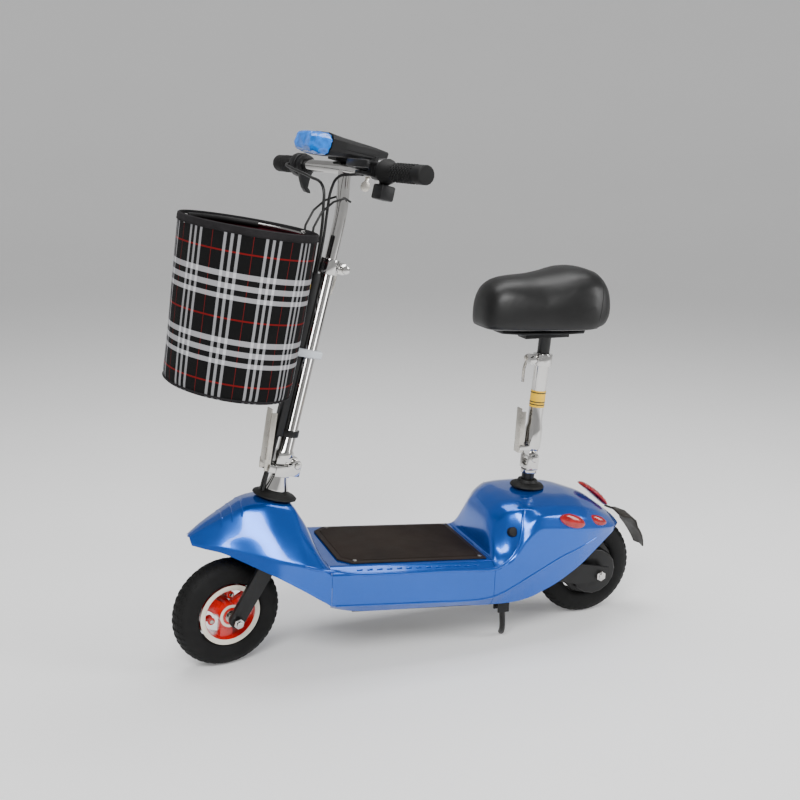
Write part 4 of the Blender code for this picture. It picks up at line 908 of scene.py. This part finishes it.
caps = [soften(cylinder("hub_cap", 0.0118, 0.0030, (0, 0, side * 0.0250)), 0.0008) for side in (1, -1)]
bolts = joined("front_rim_bolts", bolt_ring("rim_bolt", 0.0042, 0.0042, 0.0082, 6, 0.0006) + caps)
settle(move(bolts, front_hub), "front_wheel", zinc)
bosses = joined("front_rim_bosses", bolt_ring("bolt_boss", 0.0068, 0.0030, 0.0068, 24, 0.0008))
settle(move(bosses, front_hub), "front_wheel", red_enamel)
valve = joined("front_valve", [cylinder("valve_stem", 0.0028, 0.0170, (-0.0420, 0.0, 0.0060), 16, "X"),
                               cylinder("valve_cap", 0.0035, 0.0080, (-0.0370, 0.0, 0.0060), 10, "X")])
settle(move(soften(valve, 0.0004, 1), front_hub), "front_wheel", moulded_black)

# %% [markdown]
# Many pieces already have the right shape as solids: turned collars, plates, levers and
# bosses. A welded copy of each has its edges rounded by a bevel, because an edge with no
# radius never catches the light the way a pressed or moulded one does.

# %% Eased copies
EASED = (
    ("rear_rim", "rear_wheel", powder_coat, "black_paint", 0.0008),
    ("brake_drum", "chassis", powder_coat, "black_paint", 0.0010),
    ("rear_axle", "chassis", chrome, "chrome", 0.0005),
    ("front_axle", "steering", chrome, "chrome", 0.0005),
    ("fork", "steering", powder_coat, "black_paint", 0.0009),
    ("rear_fender", "chassis", flap_rubber, "rubber", 0.0010),
    ("kickstand", "stand", powder_coat, "black_paint", 0.0006),
    ("charge_port_cap", "chassis", boot_rubber, "rubber", 0.0006),
    ("stem_boot", "steering", boot_rubber, "rubber", 0.0008),
    ("stem_hinge", "steering", chrome, "chrome", 0.0007),
    ("stem_tube", "stem", chrome, "chrome", 0.0005),
    ("stem_clamp", "stem", chrome, "chrome", 0.0006),
    ("stem_clamp_lever", "stem_cam", zinc, "steel", 0.0005),
    ("stem_fold_lever", "stem_latch", zinc, "steel", 0.0005),
    ("cable_sleeve", "stem", moulded_black, "black_plastic", 0.0008),
    ("basket_clip", "stem", clip_plastic, "white_plastic", 0.0008),
    ("basket_hanger", "stem", powder_coat, "black_paint", 0.0),
    ("brake_bracket", "riser", moulded_black, "black_plastic", 0.0006),
    ("brake_lever", "brake_blade", moulded_black, "black_plastic", 0.0022),
    ("throttle_housing", "riser", moulded_black, "black_plastic", 0.0008),
    ("throttle_lever", "thumb_throttle", moulded_black, "black_plastic", 0.0010),
    ("switch_box", "riser", moulded_black, "black_plastic", 0.0010),
    ("horn_button", "horn", red_enamel, "red_paint", 0.0005),
    ("ignition_key", "key", zinc, "steel", 0.0003),
    ("seat_boot", "chassis", boot_rubber, "rubber", 0.0008),
    ("seat_tube", "seat_mast", chrome, "chrome", 0.0006),
    ("seat_clamp_lever", "seat_cam", zinc, "steel", 0.0005),
    ("seat_fold_lever", "seat_latch", zinc, "steel", 0.0005),
    ("seat_post", "seat", powder_coat, "black_paint", 0.0006),
    ("saddle_pan", "seat", moulded_black, "black_plastic", 0.0010),
)
for node, body, skin, slot, width in EASED:
    settle(refined(node, node + "_eased", width), body, skin, [node])

# %% [markdown]
# The lower seat post is one welded piece with two finishes: a black tube below and a plated
# yoke for the hinge above. It is cut in two with a flat plane, and each half gets its own.

# %% Lower seat post
def halved(node, name, point, normal):
    """The part of an eased copy on the far side of a plane, with the cut filled."""
    plane = {"plane_co": point, "plane_no": normal, "use_fill": True, "clear_inner": True}
    return edited(refined(node, name), (bpy.ops.mesh.bisect, plane), FACES_OUT)


YOKE_HEIGHT = 0.0600
yoke_base = seat @ Vector((0, 0, YOKE_HEIGHT))
yoke = halved("seat_lower_post", "seat_yoke", yoke_base, post_up)
black_tube = halved("seat_lower_post", "seat_black_tube", yoke_base, -post_up)
settle(yoke, "chassis", chrome, ["seat_lower_post"])
settle(black_tube, "chassis", powder_coat, ["seat_lower_post"])
collar = turned("seat_yoke_collar", [(0.0126, 0.0520), (0.0150, 0.0520), (0.0158, 0.0535),
                                     (0.0150, 0.0590), (0.0126, 0.0590)], 48, True)
settle(move(collar, seat), "chassis", chrome)

# %% [markdown]
# Pieces that are hidden or plain keep their own mesh. Only the material in their slots is
# changed.

# %% Solids kept as they are
KEPT = (("frame", powder_coat), ("belly_pan", moulded_black), ("battery_pack", wrap_plastic),
        ("controller", raw_steel), ("drive_motor", raw_steel), ("motor_sprocket", zinc),
        ("drive_chain", raw_steel), ("console", moulded_black))
for node, skin in KEPT:
    for index in range(len(nodes[node].material_slots)):
        nodes[node].material_slots[index].material = skin
print(len(KEPT), "solids keep their own shape")

# %% [markdown]
# ## Handlebar
# The riser is one bent tube welded to the bar. It is drawn as a smooth curve with a round
# bevel, so the gooseneck bends without facets.

# %% Riser and bar
BAR_TUBE = 0.0109
neck = tube("riser_tube", [(0, 0, 0.270), (0, 0, 0.380), (0, 0, 0.490), (0.0008, 0, 0.510),
                           (0.0032, 0, 0.532), (0.0070, 0, 0.553), (0.0104, 0, 0.572),
                           (0.0128, 0, 0.588)], BAR_TUBE, 4, 24)
move(neck, steer)
cross = move(cylinder("cross_bar", BAR_TUBE, 0.492, (0, 0, 0), 32, "Y"), bar)
settle(joined("handlebar_tube", [neck, cross]), "riser", chrome, ["handlebar"])

# %% [markdown]
# The grips are soft rubber with a diamond pattern cut by two families of spiral grooves. Many
# small raised studs, set in staggered rows round the barrel, make the same touch and look.

# %% Grips
def grip(label, side, inner):
    body = refined(f"grip_{label}", f"grip_{label}_body", 0.0008)
    stud = block("grip_stud", (0.0020, 0.0038, 0.0038), (0, 0, 0), (0, 0, 0))
    quarter = {"value": math.radians(45), "orient_axis": "X", "center_override": (0, 0, 0)}
    soften(edited(stud, (bpy.ops.transform.rotate, quarter)), 0.0005, 1)
    studs, rows = [body], int((0.2260 - inner - 0.030) / 0.0040)
    for row in range(rows):
        y = side * (inner + 0.032 + 0.0040 * row)
        for number in range(13):
            turn = 2 * math.pi * (number + 0.5 * (row % 2)) / 13
            place = bar @ shift(0, y, 0) @ spun(turn, "Y")
            studs.append(copied(stud, f"stud_{row}_{number}", place @ shift(0.0146, 0, 0)))
    bpy.data.objects.remove(stud)
    return joined(f"grip_{label}_rubber", studs)


settle(grip("left", 1, 0.1330), "riser", grip_rubber, ["grip_left"])
settle(grip("right", -1, 0.1435), "riser", grip_rubber, ["grip_right"])

# %% [markdown]
# The headlight lens is cut like a crystal, with flat facets that each catch a different part
# of the room. An even remesh is thinned to a few large faces and pushed in and out by a cell
# pattern, so the facets are real.

# %% Headlight lens
tilted = steer @ shift(0, 0, BAR_HEIGHT) @ spun(0.062, "Y")
facets = refined("headlight_lens", "headlight_crystal", 0.0)
modify(facets, "REMESH", mode="VOXEL", voxel_size=0.0032)
modify(facets, "DECIMATE", ratio=0.14)
dimple = bpy.data.textures.new("crystal_cut", "VORONOI")
dimple.noise_scale = 0.009
modify(facets, "DISPLACE", texture=dimple, texture_coords="LOCAL", strength=0.0026, mid_level=0.75)
settle(facets, "riser", blue_lens, ["headlight_lens"], 0)
for face in facets.data.polygons:
    face.use_smooth = False

# %% [markdown]
# The console has a raised line along each side, and the lock has a metal rim.

# %% Console details
line = block("console_line", (0.076, 0.0012, 0.0016), (0.014, 0.0448, 0.0300))
line = joined("console_lines", [line, block("console_line_b", (0.076, 0.0012, 0.0016),
                                            (0.014, -0.0448, 0.0300))])
settle(move(soften(line, 0.0004, 1), tilted), "riser", moulded_black)
bezel = turned("lock_bezel", [(0.0058, 0), (0.0112, 0), (0.0118, 0.0012), (0.0112, 0.0026),
                              (0.0058, 0.0026)], 40, True)
move(bezel, steer @ shift(-0.0160, 0.030, BAR_HEIGHT - 0.0052))
settle(bezel, "riser", zinc)

# %% [markdown]
# The brake cable and the electric loom run from the bar to the nose. Both cross the height
# slide and the fold, so each is made in two lengths that meet inside the sleeve.

# %% Cables
BRAKE_ROUTE = [(0.0230, 0.0800, 0.5820), (0.0330, 0.0620, 0.5780), (0.0410, 0.0350, 0.5700),
               (0.0380, 0.0150, 0.5480), (0.0310, 0.0065, 0.510), (0.0255, 0.0045, 0.470),
               (0.0232, 0.0042, 0.430), (0.0225, 0.0040, 0.400), (0.0225, 0.0040, 0.250),
               (0.0225, 0.0040, 0.120), (0.0240, 0.0042, 0.085), (0.0250, 0.0044, 0.050),
               (0.0262, 0.0048, 0.030), (0.0270, 0.0050, 0.0120)]
LOOM_ROUTE = [(0.0378, -0.1620, 0.5770), (0.0480, -0.1500, 0.5740), (0.0520, -0.1150, 0.5690),
              (0.0450, -0.0550, 0.5610), (0.0390, -0.0150, 0.5500), (0.0330, -0.0065, 0.515),
              (0.0265, -0.0045, 0.470), (0.0232, -0.0042, 0.430), (0.0225, -0.0040, 0.400),
              (0.0225, -0.0040, 0.250), (0.0225, -0.0040, 0.120), (0.0240, -0.0042, 0.085),
              (0.0250, -0.0044, 0.050), (0.0262, -0.0048, 0.030), (0.0270, -0.0050, 0.0120)]
SPLIT_HEIGHT = 0.250
cable_skin = finish("cable_sheath", (0.005, 0.005, 0.005), 0.42, 0.0, 0.2, 60, 0.08, 0.1, 1200)


def cable(name, route, radius, node):
    upper = [p for p in route if p[2] >= SPLIT_HEIGHT]
    lower = [p for p in route if p[2] <= SPLIT_HEIGHT]
    high = move(tube(f"{name}_upper", upper, radius, 5, 12), steer)
    low = move(tube(f"{name}_lower", lower, radius, 5, 12), steer)
    for piece in (high, low):
        dressed(piece, cable_skin, 60)
    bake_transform(high)
    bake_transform(low)
    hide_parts(node)
    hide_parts(node)
    print(name, "in two lengths")


cable("brake_cable", BRAKE_ROUTE, 0.0024, "brake_cable")
cable("wiring_loom", LOOM_ROUTE, 0.0026, "wiring_cable")

# %% [markdown]
# ## Basket
# The basket is a cloth bag kept open by a wire rim: an oval tube that narrows a little towards
# a rounded bottom. Its wall is laid out so that the tartan runs once round it, and a
# real UV map is written as it is built.

# %% Basket cloth
HALF_LONG, HALF_WIDE, TALL, TAPER = 0.110, 0.140, 0.277, 0.932
ROUND, DOWN = 96, 40


def basket_width(z):
    """How wide the bag is at a height, as a share of its rim, with a rounded bottom edge."""
    share = (z + TALL / 2) / TALL
    width = TAPER + (1 - TAPER) * share
    if share < 0.06:
        width -= 0.045 * (1 - math.sqrt(max(0.0, 1 - (1 - share / 0.06) ** 2)))
    return width


def sag(turn, z):
    """Slight hollows and folds, so the cloth isn't a perfect cone."""
    share = (z + TALL / 2) / TALL
    return (0.0011 * math.sin(3 * turn + 0.7) + 0.0008 * math.sin(5 * turn
                                                                  + 4 * share)) * math.sin(math.pi * share)


def bag(name, inset, low, high):
    deselect()
    bpy.ops.mesh.primitive_grid_add(x_subdivisions=ROUND, y_subdivisions=DOWN, size=2.0)
    piece = named(name)
    layer = piece.data.uv_layers.active or piece.data.uv_layers.new(name="wall")
    for loop in piece.data.loops:
        point = piece.data.vertices[loop.vertex_index].co
        layer.data[loop.index].uv = ((point.x + 1) / 2, (1 - point.y) / 2 * (high - low))
    for vertex in piece.data.vertices:
        turn = math.pi * (vertex.co.x + 1)
        z = low + (high - low) * (vertex.co.y + 1) / 2
        width = basket_width(z)
        slack = sag(turn, z) - inset
        vertex.co = ((HALF_LONG * width + slack) * math.cos(turn),
                     (HALF_WIDE * width + slack) * math.sin(turn), z)
    weld(piece, 0.0001)
    return piece


wall = bag("basket_wall", 0.0008, -TALL / 2 + 0.0010, TALL / 2 - 0.011)
settle(move(wall, basket), "stem", tartan, ["basket"], 60)
inside = bag("basket_inside", 0.0030, -TALL / 2 + 0.0030, TALL / 2 - 0.002)
edited(inside, (bpy.ops.mesh.flip_normals, {}))
settle(move(inside, basket), "stem", lining, (), 60)

# %% [markdown]
# A board stiffens the bottom and a padded black band binds the rim. A corded seam runs round
# the bottom edge. The band is a closed profile spun round, then stretched to the oval.

# %% Basket bindings
stretch = Matrix.Diagonal((HALF_LONG, HALF_WIDE, 1, 1))


def band(name, outer, inner, low, high, steps=96):
    middle = (low + high) / 2
    profile = [(inner, low + 0.001), (inner, high - 0.001), ((inner + outer) / 2, high),
               (outer, high - 0.0015), (outer + 0.0045, middle), (outer, low + 0.001),
               ((inner + outer) / 2, low)]
    return move(turned(name, profile, steps, True), basket @ stretch)


settle(band("basket_rim_band", 1.000, 0.966, TALL / 2 - 0.0135, TALL / 2), "stem", webbing)
base_share = basket_width(-TALL / 2 + 0.004)
floor_board = turned("basket_floor", [(0, -TALL / 2), (0.90 * base_share, -TALL / 2),
                                      (0.975 * base_share, -TALL / 2 + 0.0012),
                                      (0.975 * base_share, -TALL / 2 + 0.0040), (0, -TALL / 2 + 0.0040)],
                     96)
settle(move(floor_board, basket @ stretch), "stem", webbing)
cord_z = -TALL / 2 + 0.0050
cord = [(HALF_LONG * base_share * math.cos(t), HALF_WIDE * base_share * math.sin(t), cord_z)
        for t in (2 * math.pi * k / 32 for k in range(32))]
settle(move(tube("basket_bottom_piping", cord, 0.0017, 4, 8, True), basket), "stem", webbing)
STITCHES = 150
stitches = []
stitch = block("stitch", (0.0007, 0.0034, 0.0009))
for number in range(STITCHES):
    turn = 2 * math.pi * number / STITCHES
    where = Vector((HALF_LONG * 1.0035 * math.cos(turn), HALF_WIDE * 1.0028 * math.sin(turn),
                    TALL / 2 - 0.0112))
    facing = math.atan2(HALF_LONG * math.sin(turn), HALF_WIDE * math.cos(turn))
    stitches.append(copied(stitch, f"stitch_{number}", Matrix.Translation(where) @ spun(facing, "Z")))
bpy.data.objects.remove(stitch)
settle(move(joined("basket_stitching", stitches), basket), "stem", webbing)

# %% [markdown]
# The bail is a bent wire with a sleeve over its middle and a ferrule at each end, where it
# turns in the rim.

# %% Basket bail
bail = [((HALF_LONG - 0.0080) * math.cos(t), (HALF_WIDE - 0.0100) * math.sin(t), TALL / 2 - 0.008)
        for t in (math.pi * (1 + k / 18) for k in range(19))]
settle(move(tube("basket_bail_wire", bail, 0.0029, 4, 12), basket), "bail", chrome,
       ["basket_handle"])
sleeve_points = bail[5:14]
settle(move(tube("basket_bail_sleeve", sleeve_points, 0.0046, 4, 14), basket), "bail", grip_rubber)
ferrules = []
for side in (1, -1):
    ferrules.append(soften(cylinder("ferrule", 0.0062, 0.0100, (side * 0.1045, 0, TALL / 2 - 0.008), 24,
                                    "X"), 0.0010, 2))
settle(move(joined("basket_ferrules", ferrules), basket), "stem", chrome)

# %% [markdown]
# ## Labels
# A plain yellow label lies on the cable cover and another wraps the saddle tube. A few blank
# bars stand in for print.

# %% Labels
label = block("sleeve_label", (0.0010, 0.0150, 0.0500), (0.0300, 0, 0.3600))
settle(move(soften(label, 0.0003, 1), steer), "stem", label_yellow)
marks = [block("sleeve_mark", (0.0006, 0.0110, 0.0030), (0.0306, 0, 0.3600 + dz))
         for dz in (0.016, 0.009, -0.010)]
settle(move(soften(joined("sleeve_label_marks", marks), 0.0002, 1), steer), "stem", label_black)
wrap = turned("post_label", [(0.0142, 0.182), (0.01445, 0.182), (0.01445, 0.214), (0.0142, 0.214)], 48,
              True)
settle(move(wrap, seat), "seat_mast", label_yellow)
lines = [turned(f"post_mark_{k}", [(0.0144, z), (0.01462, z), (0.01462, z + 0.0022),
                                   (0.0144, z + 0.0022)], 48, True)
         for k, z in enumerate((0.186, 0.191, 0.209))]
settle(move(joined("post_label_marks", lines), seat), "seat_mast", label_black)

# %% [markdown]
# ## Saddle
# The saddle is foam under tight vinyl. The solid is remeshed evenly, drawn in a little, and
# then blown up as cloth, pinned along its underside, so that the cover swells between its
# edges the way a stuffed cover does.

# %% Saddle cushion
def inflated(piece, grow, pressure=4.0, frames=20):
    """Blows the piece up as cloth, then brings back any point that went too far."""
    before = [v.co.copy() for v in piece.data.vertices]
    cloth = piece.modifiers.new("cover", "CLOTH")
    cloth.settings.quality = 6
    cloth.settings.mass = 0.2
    cloth.settings.tension_stiffness = 22
    cloth.settings.compression_stiffness = 22
    cloth.settings.bending_stiffness = 1.2
    cloth.settings.use_pressure = True
    cloth.settings.uniform_pressure_force = pressure
    cloth.settings.vertex_group_mass = "pinned"
    cloth.settings.effector_weights.gravity = 0.0
    cloth.point_cache.frame_start, cloth.point_cache.frame_end = 1, frames
    for step in range(1, frames + 1):
        bpy.context.scene.frame_set(step)
    only(piece)
    bpy.ops.object.modifier_apply(modifier="cover")
    bpy.context.scene.frame_set(1)
    moved = 0.0
    for vertex, start in zip(piece.data.vertices, before):
        gone = vertex.co - start
        if gone.length > grow:
            vertex.co = start + gone.normalized() * grow
        moved = max(moved, min(gone.length, grow))
    return moved


PINNED_BELOW, GROWTH = 0.596, 0.0050
cushion = refined("saddle", "saddle_cushion", 0.0)
modify(cushion, "REMESH", mode="VOXEL", voxel_size=0.0050)
modify(cushion, "SMOOTH", factor=0.6, iterations=14)
modify(cushion, "DISPLACE", strength=-0.0012, mid_level=0.0)
pinned = cushion.vertex_groups.new(name="pinned")
pinned.add([v.index for v in cushion.data.vertices if v.co.z < PINNED_BELOW], 1.0, "REPLACE")
print("saddle swells by", round(inflated(cushion, GROWTH) * 1000, 1), "mm")
modify(cushion, "SMOOTH", factor=0.5, iterations=10)
modify(cushion, "SUBSURF", levels=1, render_levels=1)
settle(cushion, "seat", vinyl, ["saddle"], 70)

# %% [markdown]
# The cover is sewn from a long front panel and a back panel. The join is a fine welt that
# arches over the back, and a second one follows the lower edge. Both are laid on the finished
# cushion by casting lines at it.

# %% Saddle seams
skin = surface_of(cushion)


def seam_over(x, lean, count, sink):
    """Points over the saddle in one upright plane across it."""
    points = []
    for number in range(count):
        turn = math.radians(-112 + 224 * number / (count - 1))
        out = Vector((-lean * math.cos(turn), math.sin(turn), math.cos(turn))).normalized()
        start = Vector((-0.343 + x, 0, 0.632)) + out * 0.30
        points.append(dropped(skin, start, -out, sink))
    return [p for p in points if p is not None]


def seam_round(height, count, sink):
    points = []
    for number in range(count):
        turn = 2 * math.pi * number / count
        aim = Vector((math.cos(turn), math.sin(turn), 0))
        points.append(dropped(skin, Vector((-0.218, 0, height)) + aim * 0.40, -aim, sink))
    return [p for p in points if p is not None]


settle(tube("saddle_back_seam", seam_over(0.040, 0.22, 29, 0.0006), 0.0012, 3, 8), "seat", vinyl)
settle(tube("saddle_hem", seam_round(0.5925, 72, 0.0006), 0.0012, 3, 8, True), "seat", vinyl)

# %% [markdown]
# ## Floor
# A wide pale floor catches the soft shadow.

# %% Floor and finish
ground = turned("studio_floor", [(0.0, 0.0), (2.0, 0.0), (5.0, 0.0), (6.2, 0.12), (7.2, 0.6), (7.8, 1.6),
                                 (8.0, 3.2)], 96)
paper = finish("studio_paper", (0.90, 0.90, 0.90), 0.85, 0.0, 0.01, 3, 0.02, 0.02, 60)
put(paper.node_tree.nodes["Principled BSDF"], {"Emission Color": (1, 1, 1, 1), "Emission Strength": 0.10})
dressed(ground, paper, 60)
